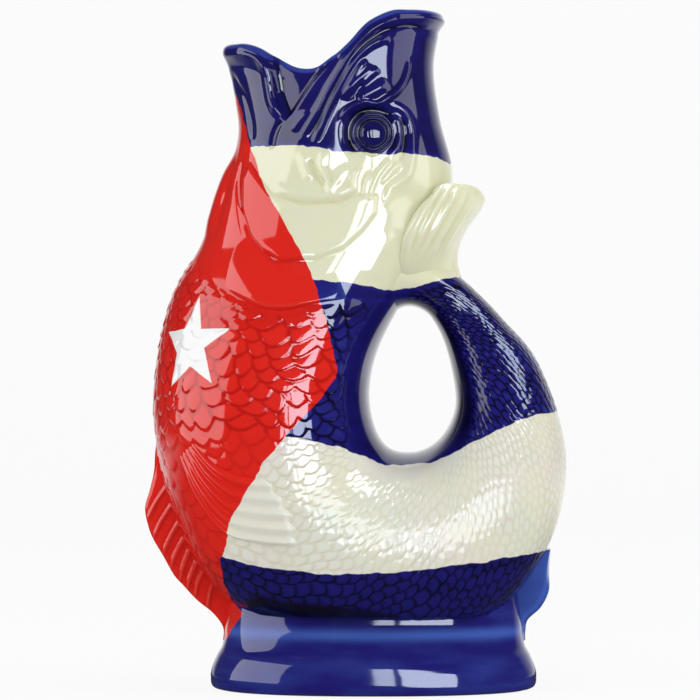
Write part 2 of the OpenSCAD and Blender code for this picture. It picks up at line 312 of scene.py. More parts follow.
@dataclass
class Fish:
    """The fish's skin: sections carried along a spine that is bent in a U.

    Each station has a point on the front outline, one on the back outline and a width. The points
    are shares of the jug's length and of its height above the foot. Lengths are in millimetres.
    """

    height: float = 280.0
    length: float = 176.0
    width: float = 114.0
    foot_height: float = 32.0
    wall: float = 5.0
    squareness: float = 2.35
    neck: float = 5.6
    waist: float = 8.6
    root: float = 12.4
    tip: float = 15.0
    cavity_end: float = 15.4
    front_shares: ClassVar[Grid] = np.array([
        (-0.316, 0.943), (-0.287, 0.857), (-0.288, 0.785), (-0.331, 0.700), (-0.367, 0.619),
        (-0.436, 0.529), (-0.472, 0.423), (-0.477, 0.309), (-0.433, 0.171), (-0.313, 0.026),
        (-0.070, -0.066), (0.231, -0.057), (0.432, 0.082), (0.497, 0.247), (0.437, 0.407),
        (0.340, 0.496), (0.255, 0.559)])
    back_shares: ClassVar[Grid] = np.array([
        (0.205, 0.977), (0.184, 0.907), (0.199, 0.822), (0.229, 0.733), (0.206, 0.651),
        (0.131, 0.549), (0.056, 0.447), (0.032, 0.374), (0.043, 0.313), (0.077, 0.275),
        (0.136, 0.267), (0.190, 0.284), (0.226, 0.321), (0.236, 0.365), (0.214, 0.442),
        (0.179, 0.493), (0.131, 0.525)])
    width_shares: ClassVar[Grid] = np.array([
        0.70, 0.71, 0.72, 0.755, 0.80, 0.87, 0.95, 1.0, 1.0, 0.985, 0.95, 0.895, 0.79, 0.63,
        0.475, 0.37, 0.32])
    keel_shares: ClassVar[Grid] = np.array([
        0.34, 0.32, 0.30, 0.28, 0.26, 0.24, 0.22, 0.18, 0.12, 0.04, 0, 0, 0, 0, 0, 0, 0])
    # How finely sections are stepped round, and how places on the skin are searched for
    ring_samples: ClassVar[int] = 4001
    turn_samples: ClassVar[int] = 720
    turn_station: ClassVar[float] = 8.0
    small_step: ClassVar[float] = 0.01
    lift_step: ClassVar[float] = 0.5
    last_flank: ClassVar[float] = 9.0
    halvings: ClassVar[int] = 26
    passes: ClassVar[int] = 3

    def placed(self, shares: Grid) -> Grid:
        """Turns shares into points of the side view."""
        return shares * (self.length, self.height - self.foot_height) + (0, self.foot_height)

    def front(self, s: Grid) -> Grid:
        """The front outline at a station."""
        return self.placed(spline(self.front_shares, s))

    def back(self, s: Grid) -> Grid:
        """The back outline at a station."""
        return self.placed(spline(self.back_shares, s))

    def half_width(self, s: Grid) -> Grid:
        """Half the width of a section."""
        return spline(self.width_shares, s) * self.width / 2

    def keeled(self, s: Grid, share: Grid) -> Grid:
        """How much a section narrows towards its front."""
        return 1 + spline(self.keel_shares, s) * share / 2

    def rounded(self, v: Grid) -> Grid:
        """A sine or cosine drawn out to a squarer section."""
        return np.sign(v) * np.abs(v) ** (2 / self.squareness)

    def skin(self, s: Grid, angle: Grid, inset: Any = 0.0) -> Grid:
        """Finds points of the skin, or of a surface inside it.

        Args:
            s: Stations along the spine.
            angle: Angles from the back outline.
            inset: How far inside the skin the points lie.

        Returns:
            Superellipses in the planes of the stations, with the underside flat on the foot.
        """
        f, b = self.front(s), self.back(s)
        span = np.linalg.norm(b - f, axis=-1)
        c = self.rounded(np.cos(angle))
        middle = (f + b) / 2 + (b - f) * ((span / 2 - inset) * c / span)[..., None]
        y = (self.half_width(s) - inset) * self.keeled(s, c) * self.rounded(np.sin(angle))
        z = np.maximum(middle[..., 1], self.foot_height + inset)
        return np.stack([middle[..., 0], y, z], axis=-1)

    def skin_out(self, s: Grid, angle: Grid) -> Grid:
        """The outward normals of the skin: the cross product of small steps along it and round it."""
        steps = ((self.small_step, 0.0), (0.0, self.small_step))
        tangents = (self.skin(s + i, angle + j) - self.skin(s - i, angle - j) for i, j in steps)
        return unit(np.cross(*tangents))

    def even_angles(self, count: int, station: float, flank_share: float = 0.0) -> Grid:
        """Finds angles that step evenly round one section.

        Args:
            count: How many there are.
            station: The section's station.
            flank_share: How much denser the steps are on the flanks than at the front and back.

        Returns:
            The angles, in order.
        """
        fine = np.linspace(0, 2 * math.pi, self.ring_samples)
        ring = self.skin(np.full_like(fine, station), fine)
        steps = np.linalg.norm(np.diff(ring, axis=0), axis=1)
        denser = 1 + flank_share * np.abs(np.sin(fine[1:]))
        far = np.concatenate([[0], np.cumsum(steps * denser)])
        return np.interp(np.arange(count) / count * far[-1], far, fine)

    def turns(self, angles: Grid) -> Grid:
        """The shares of the way round a section, by distance, at angles."""
        even = np.append(self.even_angles(self.turn_samples, self.turn_station), 2 * math.pi)
        return np.interp(angles, even, np.linspace(0, 1, len(even)))

    def seen_at(self, at: Grid) -> Grid:
        """Finds the points of the flank that the photograph shows at pixels.

        Args:
            at: Pixels.

        Returns:
            Points of the side view. Each pass puts them at the depth that the one before found.
        """
        p = VIEW.side_view(at)
        for _ in range(self.passes):
            p = VIEW.side_view(at, self.flank(p)[..., 1])
        return p

    def flank(self, p: Grid) -> Grid:
        """Finds the skin over points of the side view, on the flank where y is positive.

        Args:
            p: Points of the side view.

        Returns:
            Points of the skin. Their stations are found by halving.
        """
        low, high = np.zeros(p.shape[:-1]), np.full(p.shape[:-1], self.last_flank)
        for _ in range(self.halvings):
            s = (low + high) / 2
            span, off = self.back(s) - self.front(s), p - self.front(s)
            below = span[..., 0] * off[..., 1] - span[..., 1] * off[..., 0] < 0
            low, high = np.where(below, s, low), np.where(below, high, s)
        f, b = self.front(s), self.back(s)
        half = np.linalg.norm(b - f, axis=-1) / 2
        share = np.clip(np.sum((p - (f + b) / 2) * unit(b - f), axis=-1) / half, -1, 1)
        full = (1 - np.abs(share) ** self.squareness) ** (1 / self.squareness)
        return np.stack([p[..., 0], self.half_width(s) * self.keeled(s, share) * full, p[..., 1]], -1)

    def lifted(self, p: Grid, height: Grid) -> Grid:
        """Lifts points of the side view off the flank, along the normal that small steps on it give."""
        dx, dz = (self.flank(p + step) - self.flank(p - step) for step in self.lift_step * np.eye(2))
        return self.flank(p) + unit(np.cross(dz, dx)) * height[..., None]


FISH = Fish()


class Paint:
    """The painted fields, as outlines in the photograph's pixels."""

    red: ClassVar[Pixels] = (
        (100, 88), (236, 95), (251, 145), (260, 178), (270, 197), (286, 225), (307, 265), (318, 291),
        (322, 308), (332, 343), (338, 367), (336, 377), (321, 398), (301, 419), (280, 443), (263, 464),
        (247, 490), (239, 504), (228, 527), (224, 551), (221, 558), (223, 582), (231, 601), (243, 613),
        (237, 622), (228, 636), (222, 643), (100, 665))
    neck: ClassVar[Pixels] = (
        (100, 143), (253, 146), (298, 145.6), (321, 148.4), (343, 152), (372, 154), (412, 153.4),
        (437, 157.5), (450, 164), (520, 175), (520, 268), (457, 277), (445, 279), (427, 284),
        (400, 290), (385, 290), (365, 285), (325, 280), (100, 276))
    belly_top: ClassVar[Pixels] = (
        (100, 420), (295, 437), (340, 447), (385, 465), (430, 463), (460, 450), (500, 428), (530, 417),
        (558, 411), (620, 402))
    belly: ClassVar[Pixels] = belly_top + (
        (620, 540), (553, 549), (480, 563), (400, 572), (330, 575), (260, 567), (222, 556), (100, 540))
    star: ClassVar[Pixels] = (
        (199.6, 296), (201, 329), (230, 328.5), (204, 348), (212, 384), (190, 366), (171, 387), (177, 353),
        (169, 332), (185, 329))
    # Cobalt above the foot: glaze that ran together and fills the scales, and painted shade on the belly's
    # underside
    pool: ClassVar[Pixels] = (
        (247, 600), (262, 595), (282, 601), (320, 604), (372, 610), (398, 617), (390, 640), (262, 640),
        (250, 615))

    @classmethod
    def within(cls, points: Grid, outline: Pixels) -> Grid:
        """The distance of points inside an outline, in millimetres, negative outside."""
        at = VIEW.pixels(points)
        return inside_outline(at.reshape(-1, 2), outline).reshape(at.shape[:-1]) * VIEW.pixel

    @classmethod
    def edges(cls, points: Grid) -> dict[str, Grid]:
        """Measures each point against the painted fields.

        Args:
            points: Points of a piece.

        Returns:
            The distance in millimetres inside the white, red and star fields, negative outside.
        """
        white = np.maximum(cls.within(points, cls.neck), cls.within(points, cls.belly))
        return {"white_edge": white, "red_edge": cls.within(points, cls.red),
                "star_edge": cls.within(points, cls.star)}


@dataclass(frozen=True)
class Scales:
    """Overlapping scales in rows across the spine, each row half a scale along from the last.

    Columns count round a section: large scales on the red and above the belly's white band, and fine
    ones elsewhere. Sizes of a scale are shares of its width, and other lengths are in millimetres.
    """

    large_columns: int = 36
    fine_columns: int = 54
    row_share: float = 0.64
    radius_share: float = 0.70
    roundness: float = 1.65
    tilt_share: float = 0.075
    dome_share: float = 0.022
    tail_dome_share: float = 0.045
    edge_share: float = 0.12
    rim_share: float = 0.02
    groove_share: float = 0.10
    least_groove: float = 0.6
    # How far rows and columns stray, and the least of a scale's size and tilt with what chance adds
    wander: float = 0.16
    size_chance: Pair = (0.96, 0.08)
    tilt_chance: Pair = (0.6, 0.8)
    # The line of pixels that the scales begin below
    start: Pixels = ((100, 258), (196, 258), (203, 266), (214, 284), (238, 299), (259, 308), (280, 312),
                     (321, 304), (345, 298), (400, 300), (430, 293), (465, 287), (520, 284))
    start_ramp: float = 3.0
    # How much lighter the faces are, partly thin glaze and partly painted highlight, and how faint the
    # grooves are on the white
    face_lift: float = 0.3
    fine_lift: float = 0.15
    white_fade: float = 0.6
    white_lead: float = 0.8
    size_lead: float = 0.5
    # Painted shade on the smooth cobalt round the handle's hole, between two cosines of the angle from the
    # back, and on the lower cobalt
    bare_back: Pair = (0.68, 0.52)
    bare_pool: float = 0.8
    bare_share: float = 0.4
    low_pool: float = 0.3
    # The pool above the foot: its ramp, how dark it is, partly pooled glaze and partly painted shade, and
    # how much of the relief it fills
    pool_ramp: float = 3.0
    pool_depth: float = 0.9
    pool_fill: float = 0.7
    first_station: ClassVar[float] = 4.0
    station_samples: ClassVar[int] = 601
    girth_samples: ClassVar[int] = 120
    girth_station: ClassVar[float] = 7.0

    def rows(self, s: Grid, columns: int) -> tuple[Grid, Grid]:
        """Counts the rows of scales.

        Args:
            s: Stations.
            columns: Scales round a section.

        Returns:
            The rows down to each station, and the width of a scale there: the girth over the columns.
        """
        fine = np.linspace(self.first_station, len(FISH.front_shares) - 1, self.station_samples)
        angles = FISH.even_angles(self.girth_samples, self.girth_station)
        ring = FISH.skin(*crossed(fine[:, None], angles))
        girth = np.linalg.norm(ring - np.roll(ring, 1, axis=1), axis=2).sum(axis=1)
        middle = (FISH.front(fine) + FISH.back(fine)) / 2
        speed = np.linalg.norm(np.gradient(middle, axis=0), axis=1)
        count = np.cumsum(speed * columns / (self.row_share * girth))
        return np.interp(s, fine, count), np.interp(s, fine, girth) / columns

    def laid(self, s: Grid, turn: Grid, columns: int) -> tuple[Grid, Grid]:
        """Lays scales from the tail up, so that each lies over those behind it.

        Args:
            s: Stations.
            turn: Shares of the way round the sections.
            columns: Scales round a section.

        Returns:
            Heights, where each scale rises to its free edge and drops at its rim, and grooves, which
            are 1 along the rims and 0 on the faces. Waves make rows and columns stray, and chance, the
            fraction of a large sine, makes no two scales quite alike.
        """
        row, width = self.rows(s, columns)
        wave = 2 * math.pi * turn
        row = row + self.wander * (np.sin(7 * wave + 0.9 * row) + np.sin(11 * wave - 1.3 * row + 2))
        sway = np.sin(1.1 * row + 3 * wave) + np.sin(0.7 * row - 8 * wave + 1)
        column = turn * columns + self.wander * sway
        first = np.floor(row)
        dome = self.dome_share + self.tail_dome_share * smooth_step(s - FISH.root + 1)
        narrow = np.maximum(self.groove_share, self.least_groove / width)
        height, groove = np.zeros_like(row), np.zeros_like(row)
        for back in (1, 0, -1, -2):
            k = first + back
            shift = 0.5 * np.mod(k, 2)
            for beside in (0, 1):
                centre = np.floor(column - shift) + beside + shift
                chance = np.mod(np.sin(k * 12.9898 + np.mod(centre, columns) * 78.233) * 43758.5453, 1.0)
                u = np.abs(column - centre)
                v = (row - k) * self.row_share
                far = (u**self.roundness + np.abs(v) ** self.roundness) ** (1 / self.roundness)
                rim = self.radius_share * (self.size_chance[0] + self.size_chance[1] * chance) - far
                cover = smooth_step(rim / self.edge_share)
                tilt = self.tilt_share * (self.tilt_chance[0] + self.tilt_chance[1] * chance)
                own = (tilt * v + dome * (1 - np.square(far / self.radius_share))) * width
                height = height * (1 - cover) + own * cover
                groove = np.maximum(groove * (1 - cover), hump(rim - self.rim_share, narrow))
        return height, groove

    def relief(self, s: Grid, turn: Grid, points: Grid) -> tuple[Grid, Grid]:
        """Lays large scales on the red and on the upper blue, and fine ones elsewhere.

        Args:
            s: Stations.
            turn: Shares of the way round the sections.
            points: The skin, which says where the scales begin.

        Returns:
            Heights, and hollows: near 1 along the rims, for pooled glaze and painted shade, in the pool
                above
            the foot and on the bare cobalt round the handle's hole, where shade is painted, and below 0 on
            the faces, where thin glaze and painted highlight lighten them.
        """
        at = VIEW.pixels(points)
        top, line = np.array(Paint.belly_top, float), np.array(self.start, float)
        above = (np.interp(at[..., 0], top[:, 0], top[:, 1]) - at[..., 1]) * VIEW.pixel
        below = (at[..., 1] - np.interp(at[..., 0], line[:, 0], line[:, 1])) * VIEW.pixel
        edges = Paint.edges(points)
        smooth, full = self.bare_back
        scaled = smooth_step((smooth - np.cos(2 * math.pi * turn)) / (smooth - full))
        begun = smooth_step(below / self.start_ramp)
        share = smooth_step(np.maximum(edges["red_edge"], above) + self.size_lead)
        large, fine = self.laid(s, turn, self.large_columns), self.laid(s, turn, self.fine_columns)
        height, groove = (a * share + b * (1 - share) for a, b in zip(large, fine))
        white = smooth_step(edges["white_edge"] + self.white_lead)
        grooves_pooled_and_shaded = begun * scaled * (1 - self.white_fade * white)
        lift = self.face_lift * (self.fine_lift + (1 - self.fine_lift) * share)
        in_tail = smooth_step(s - FISH.root + 1)
        hole_shaded = self.bare_pool * (self.bare_share + (1 - self.bare_share) * in_tail)
        # Grooves darker and faces lighter, partly the glaze and partly painted shade and highlight; painted
        # shade round the handle's hole
        hollow = ((1 + lift) * groove - lift) * grooves_pooled_and_shaded + hole_shaded * begun * (1 - scaled) * (1 - white)
        # Painted shade on the lower cobalt
        hollow = np.maximum(hollow, self.low_pool * (1 - share) * (1 - white))
        # Above the foot: glaze that fills the scales, and painted shade
        pool = smooth_step(Paint.within(points, Paint.pool) / self.pool_ramp + 0.5)
        height = height * begun * scaled * (1 - self.pool_fill * pool)
        return height, hollow * (1 - pool) + self.pool_depth * pool


@dataclass
class Shell:
    """Rows of points that join into one closed piece, with what its vertices carry.

    A shell either joins its last row to its first or closes at both ends in a point.
    """

    rows: Grid
    looped: bool
    seams: dict[int, Grid] = field(default_factory=dict)
    hollow: Optional[Grid] = None
    inside: Optional[Grid] = None

    def faces(self) -> tuple[Grid, Grid]:
        """Joins each row to the next.

        Returns:
            The corners of the four-sided faces, and of the triangles at the two points.
        """
        m, n = self.rows.shape[:2]
        i = np.arange(m if self.looped else m - 1)[:, None]
        j = np.arange(n)[None, :]
        k, l = (i + 1) % m, (j + 1) % n
        quads = np.stack([i * n + j, k * n + j, k * n + l, i * n + l], axis=-1).reshape(-1, 4)
        if self.looped:
            return quads, np.zeros((0, 3), int)
        j, l, top = np.arange(n), (np.arange(n) + 1) % n, (m - 1) * n
        first = np.stack([np.full(n, m * n), j, l], axis=-1)
        last = np.stack([np.full(n, m * n + 1), top + l, top + j], axis=-1)
        return quads, np.concatenate([first, last])

    def points(self) -> Grid:
        """All points of the piece, with the middles of its ends last where it isn't looped."""
        ends = [] if self.looped else [self.rows[:1].mean(axis=1), self.rows[-1:].mean(axis=1)]
        return np.concatenate([self.rows.reshape(-1, 3), *ends])

    def spread(self, values: Optional[Grid], rest: float) -> Grid:
        """Gives each point its value of a grid, and the end points the rest's."""
        flat = np.full(self.rows.shape[:2], rest) if values is None else values
        return flat.ravel() if self.looped else np.concatenate([flat.ravel(), [rest, rest]])

    def painted(self) -> tuple[Grid, Optional[Grid]]:
        """What its points carry: hollows, and how far inside the jug they lie."""
        inside = None if self.inside is None else self.spread(self.inside, -BEYOND)
        return self.spread(self.hollow, 0.0), inside


@dataclass
class Slab:
    """An upper sheet of points, closed underneath by a lower one along all four edges.

    A groove of its depth in millimetres counts as full.
    """

    upper: Grid
    lower: Grid
    groove_depth: float
    groove_reach: ClassVar[int] = 3
    seams: ClassVar[dict[int, Grid]] = {}

    def faces(self) -> tuple[Grid, Grid]:
        """Joins the sheets.

        Returns:
            The corners of the four-sided faces, and no triangles.
        """
        m, n = self.upper.shape[:2]
        i, j = np.arange(m - 1)[:, None], np.arange(n - 1)[None, :]
        a = i * n + j
        top = np.stack([a, a + n, a + n + 1, a + 1], axis=-1).reshape(-1, 4)
        under = top[:, ::-1] + m * n
        border = np.concatenate([np.arange(n), np.arange(1, m) * n + n - 1,
                                 (m - 1) * n + np.arange(n - 2, -1, -1), np.arange(m - 2, 0, -1) * n])
        after = np.roll(border, -1)
        rim = np.stack([border, after, after + m * n, border + m * n], axis=-1)
        return np.concatenate([top, under, rim]), np.zeros((0, 3), int)

    def points(self) -> Grid:
        """All points of the piece, the upper sheet first."""
        return np.concatenate([self.upper.reshape(-1, 3), self.lower.reshape(-1, 3)])

    def painted(self) -> tuple[Grid, None]:
        """Tells grooves from crests on the upper sheet, as hollows does.

        Returns:
            1 in a groove, -1 on a crest and 0 at the rows' ends and underneath, and nothing inside the jug.
        """
        up = facing(sheet_normals(self.upper), self.upper - self.lower)
        values = hollows(self.upper, up, self.groove_reach, self.groove_depth)
        values[:, :self.groove_reach] = values[:, -self.groove_reach:] = 0.0
        return np.concatenate([values.ravel(), np.zeros(values.size)]), None


class Piece:
    """A finished piece: its mesh, what its vertices carry, its glaze and its place in the frame."""

    def __init__(self, name: str, form: Union[Shell, Slab]) -> None:
        """Makes the mesh with its faces turned outwards, and paints it.

        Args:
            name: The piece's name.
            form: Its surface.
        """
        points, (quads, triangles) = form.points(), form.faces()
        halves = np.concatenate([quads[:, [0, 1, 2]], quads[:, [0, 2, 3]], triangles])
        a, b, c = (points[halves[:, k]] for k in range(3))
        if np.sum(a * np.cross(b, c)) < 0:
            quads, triangles, halves = quads[:, ::-1], triangles[:, ::-1], halves[:, ::-1]
        self.points = points
        self.normals = np.zeros_like(points)
        a, b, c = (points[halves[:, k]] for k in range(3))
        across = np.cross(b - a, c - a)
        for k in range(3):
            np.add.at(self.normals, halves[:, k], across)
        self.normals = unit(self.normals)
        mesh = bpy.data.meshes.new(name)
        corners = np.concatenate([quads.ravel(), triangles.ravel()]).astype(np.int32)
        sizes = np.concatenate([np.full(len(quads), 4), np.full(len(triangles), 3)])
        mesh.vertices.add(len(points))
        mesh.vertices.foreach_set("co", (points * MM).astype(np.float32).ravel())
        mesh.loops.add(len(corners))
        mesh.loops.foreach_set("vertex_index", corners)
        mesh.polygons.add(len(sizes))
        starts = np.concatenate([[0], np.cumsum(sizes)[:-1]]).astype(np.int32)
        mesh.polygons.foreach_set("loop_start", starts)
        mesh.polygons.foreach_set("use_smooth", np.ones(len(sizes), bool))
        mesh.update(calc_edges=True)
        mesh.validate()
        self.mesh = mesh
        self.object = bpy.data.objects.new(name, mesh)
        bpy.context.scene.collection.objects.link(self.object)
        self.paint(*form.painted())
        if form.seams:
            self.shade(form.seams, form.rows.shape[1])

    def carry(self, name: str, values: Grid) -> None:
        """Stores one number for each vertex."""
        layer = self.mesh.attributes.new(name, "FLOAT", "POINT")
        layer.data.foreach_set("value", values.astype(np.float32))

    def paint(self, hollow: Grid, inside: Optional[Grid]) -> None:
        """Stores the painted fields, and the grooves and crests that darken and lighten the colour: pooled
        glaze, with painted shade and painted highlight.

        Args:
            hollow: 1 in a groove, -1 on a crest.
            inside: How far past the rim into the jug, where all is white, and negative outside.
        """
        edges = Paint.edges(self.points)
        if inside is not None:
            edges["white_edge"] = np.maximum(edges["white_edge"], inside)
            edges["red_edge"] = np.minimum(edges["red_edge"], -inside)
        for name, edge in edges.items():
            self.carry(name, edge)
        self.carry("hollow", hollow)

    def shade(self, seams: Mapping[int, Grid], columns: int) -> None:
        """Gives rows that meet another piece the normals of the whole surface, so no seam shows."""
        for row, normals in seams.items():
            self.normals[row * columns:(row + 1) * columns] = normals
        self.mesh.normals_split_custom_set_from_vertices(self.normals.tolist())

    def dress(self, materials: Sequence[bpy.types.Material], slot: str, *nodes: str) -> None:
        """Puts the piece in the frame.

        Args:
            materials: Its finishes.
            slot: The record's material slot; not used.
            nodes: The nodes that it stands for.
        """
        for material in materials:
            self.mesh.materials.append(material)
        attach(self.object, "root")
        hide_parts(*nodes)
        LOG.info("%s: %d faces", self.object.name, len(self.mesh.polygons))


@dataclass(frozen=True)
class Finishes:
    """The materials that the pieces are dressed in."""

    glaze: bpy.types.Material
    clay: bpy.types.Material


class Part:
    """A sub-assembly that is one piece. It names the piece, its material slot and its node."""

    names: Names

    def build(self) -> Union[Shell, Slab]:
        """Works out the piece's surface."""
        raise NotImplementedError

    def dress(self, finishes: Finishes) -> None:
        """Builds the piece and glazes it."""
        name, slot, node = self.names
        Piece(name, self.build()).dress([finishes.glaze], slot, node)


@dataclass
class Head(Part):
    """Throat, cheeks and open mouth. Lengths are in millimetres, and tables run from nape to chin."""

    columns: int = 430
    outer_rows: int = 190
    inner_rows: int = 18
    crown_rows: int = 7
    even_station: float = 2.0
    flank_share: float = 1.0
    corner_depth: float = 17.0
    arch_height: float = 5.0
    # The rolled lip, and the groove below it in shares of the lip's width
    lip_height: float = 1.2
    lip_width: float = 2.4
    lip_groove: float = 0.4
    groove_place: float = 3.2
    groove_width: float = 0.7
    crown: float = 2.4
    depth: float = 118.0
    fold_ramp: float = 3.0
    # How far grooves are looked for, the depth of a full one and how much lighter crests are
    groove_reach: int = 5
    groove_depth: float = 0.3
    crest_share: float = 0.4
    # How much darker all the head's cobalt is painted, and how the darkening ends at the white
    cobalt_pool: float = 0.35
    white_ramp: float = 1.5
    white_gap: float = 0.3
    scales: Scales = Scales()
    dip_shares: ClassVar[Grid] = np.array([
        0, 0, 0, 0, 0, 0, 0, 0.55, 0.98, 0.98, 0.75, 0.38, 0.18, 0.12, 0.07, 0.04])
    arch_shares: ClassVar[Grid] = np.array([
        0.86, 0.86, 0.90, 0.96, 1, 1, 0.40, 0, 0, 0, 0, 0, 0, 0, 0, 0])
    lip_shares: ClassVar[Grid] = np.array([
        1, 1, 1, 0.8, 0.4, 0.2, 0.1, 0.05, 0.05, 0.05, 0.2, 0.5, 0.7, 0.7, 0.6, 0.5])
    names: ClassVar[Names] = ("head_modelled", "cobalt_glaze", "head")
    # Skin between the lips, sunk below both
    mouth_skin: ClassVar[Plate] = Plate((
        (266, 36), (266, 52), (268, 64), (272, 76), (274, 92), (279, 106), (285, 117), (290, 112),
        (300, 97), (312, 80), (324, 66), (336, 56), (340, 46), (340, 30)), 3.0, -4.5)
    mouth_lining: ClassVar[Plate] = Plate(mouth_skin.outline, 11.0, -3.0)
    # Painted shade in the cobalt: deep round the eye, at the corner of the mouth, and on the head's right
    # side behind the brow
    pools: ClassVar[tuple[Plate, ...]] = (
        Plate(((346, 150), (344, 128), (352, 112), (364, 106), (379, 106), (392, 112), (399, 128),
               (398, 145), (392, 160), (356, 160)), 3.0, 0.8),
        Plate(((264, 155), (270, 128), (282, 116), (296, 126), (322, 155)), 5.0, 0.45),
        Plate(((411, 60), (420, 36), (432, 36), (432, 90), (446, 170), (402, 170), (412, 120),
               (406, 90)), 7.0, 0.5))
    cheek: ClassVar[Plate] = Plate((
        (250, 165), (243, 180), (243, 210), (251, 236), (263, 251), (280, 259), (315, 258), (343, 248),
        (363, 229.5), (375, 213), (376, 196), (355, 197), (338, 204), (300, 205), (270, 194), (256, 175)),
        2.5, 1.2)
    folds: ClassVar[tuple[Fold, ...]] = (
        # Upper jaw: its rolled edge, the groove beside it and the second ridge
        Fold(((300, 140), (320, 108.7), (332, 84.6), (345, 64), (356.5, 45.7), (370, 30.7), (382, 22.4),
              (395, 15.4)), 1.9, 1.5),
        Fold(((308, 142), (324, 110), (336, 86), (349, 62), (361, 46), (374, 37), (383, 31), (395, 27.4),
              (408, 25.3), (420, 27), (427, 29)), 1.3, -1.0),
        Fold(((314, 143), (320, 128.6), (328.3, 107.8), (339, 87), (353, 63), (365, 50), (376, 42.3),
              (390, 38)), 1.3, 1.4),
        # Strands and a leaf between the ridge and the eye
        Fold(((342.4, 99.6), (354, 78), (366, 59)), 1.8, 1.3, 0.3),
        Fold(((347.4, 93), (360, 79), (373, 66)), 1.3, 1.2, 0.3),
        Fold(((361.5, 84.6), (370, 76), (378, 68)), 1.3, 1.0, 0.3),
        Fold(((357, 100), (372, 92), (388, 83)), 2.4, 1.3, 0.35),
        # Brow
        Fold(((341.6, 119.5), (346, 112), (353, 106), (364.8, 102.5), (377.2, 104), (387, 98.5),
              (396, 92.5), (403, 83), (407, 71), (409.6, 57)), 1.0, 1.3, 0.12),
        # Socket, deepest before and above the eye, and the folds behind it
        Fold(((357, 154), (350, 142), (348.5, 129), (353, 118), (362, 111.5), (374, 110), (387, 113),
              (395, 120)), 2.0, -2.4, 0.2),
        Fold(((392, 114), (398.5, 124), (399.5, 137), (396, 149), (388, 158)), 1.1, 0.9, 0.25),
        Fold(((394, 102), (405, 113), (411, 130), (412, 148), (411, 163), (406.6, 176), (396, 184),
              (389.6, 190), (385.5, 209)), 1.6, 1.3, 0.15),
        Fold(((403, 118), (405.5, 133), (404, 150), (398, 165)), 1.2, -1.0, 0.25),
        # Wrinkles under the eye
        Fold(((360, 167), (355, 180), (356, 193)), 1.0, 0.9, 0.3),
        Fold(((371, 171.5), (366, 188), (364, 199)), 1.0, 0.9, 0.3),
        Fold(((394.6, 156), (379, 173), (370.5, 192), (369.7, 201)), 1.0, 0.9, 0.3),
        Fold(((401, 160), (390, 173), (380.5, 184)), 1.0, 0.8, 0.3),
        # Lower end of the upper jaw
        Fold(((303, 152), (306, 166), (310, 180)), 1.8, 0.9, 0.3),
        Fold(((310, 159), (316, 174), (325, 186)), 1.4, -1.4, 0.25),
        Fold(((325, 150), (322, 167), (329, 186), (332, 188), (346, 167)), 1.5, 1.1, 0.2),
        # Rolled lower lip, the crease before it and the corner of the mouth
        Fold(((240, 50), (252, 52), (261, 60), (266, 72), (269, 88), (272, 103), (279, 117)),
             1.7, 1.5, 0.15),
        Fold(((231, 70), (236, 84), (244, 98), (250, 120), (253, 140)), 1.2, -1.0, 0.3),
        Fold(((281, 120), (274, 134), (271, 150)), 1.3, -1.0, 0.3),
        Fold(((292, 132), (300, 121), (310, 111)), 1.6, 0.8, 0.35),
        # Crease over the cheek, and folds of the throat and of the neck
        Fold(((275, 196), (292, 201), (310, 203), (327, 203), (343, 201), (355, 193)), 1.6, -1.2, 0.2),
        Fold(((272, 184), (288, 192), (312, 197), (334, 195), (352, 188)), 2.2, 0.7, 0.3),
        Fold(((245, 150), (238, 180), (240, 210), (249, 237), (262, 252), (275, 259)), 1.4, -1.0, 0.2),
        Fold(((239, 104), (236, 140), (229, 180), (220, 214), (211, 244)), 1.6, -0.8, 0.3),
        Fold(((230, 150), (222, 182), (212, 212), (203, 236)), 1.6, 0.9, 0.3),
        Fold(((392, 232), (379, 258), (368, 280)), 2.2, 0.6, 0.3),
        Fold(((397, 190), (405, 197), (414, 206), (404, 230)), 6.0, -1.4, 0.4))

    @staticmethod
    def round_rim(table: Grid, angle: Grid) -> Grid:
        """Reads a table that runs from the nape to the chin, at angles from the nape."""
        turn = np.abs(np.where(angle > math.pi, angle - 2 * math.pi, angle)) / math.pi
        return read_along(table, turn)

    def stations(self, t: Grid, angle: Grid) -> Grid:
        """Finds stations from the rim, which dips at the corners of the mouth, down to the neck."""
        dip = self.corner_depth / np.linalg.norm(FISH.front(np.array(1.0)) - FISH.front(np.array(0.0)))
        return FISH.neck * t + dip * self.round_rim(self.dip_shares, angle) * (1 - t)

    def point(self, t: Grid, angle: Grid, inset: Any, rise: Any = 0.0) -> Grid:
        """Finds points of the head.

        Args:
            t: Shares of the way from the rim down to the neck.
            angle: Angles from the nape.
            inset: How far inside the skin the points lie.
            rise: How far they are lifted.

        Returns:
            The skin below a rim that arches in the upper jaw, by the cube of the share that is left.
        """
        points = FISH.skin(self.stations(t, angle), angle, inset)
        points[..., 2] += rise + self.arch_height * self.round_rim(self.arch_shares, angle) * (1 - t) ** 3
        return points

    def sunk(self, t: Grid, angle: Grid, plate: Plate) -> Grid:
        """How far the skin between the lips, or its lining, lies below them."""
        at = VIEW.pixels(self.point(t, angle, 0.0))
        return -plate.relief(at.reshape(-1, 2)).reshape(at.shape[:-1])

    def lip(self, t: Grid, angle: Grid) -> Grid:
        """The rolled lip, a bell, less one for the groove below it, and flat at the mouth's corners."""
        down = t * self.depth / self.lip_width
        groove = self.lip_groove * hump(down - self.groove_place, self.groove_width)
        return (self.lip_height * hump(down - 1, 1) - groove) * self.round_rim(self.lip_shares, angle)

    def skin_inset(self, t: Grid, angle: Grid) -> Grid:
        """How far inside the fish's skin the outside lies, which is less than 0 on the lip."""
        return self.sunk(t, angle, self.mouth_skin) - self.lip(t, angle)

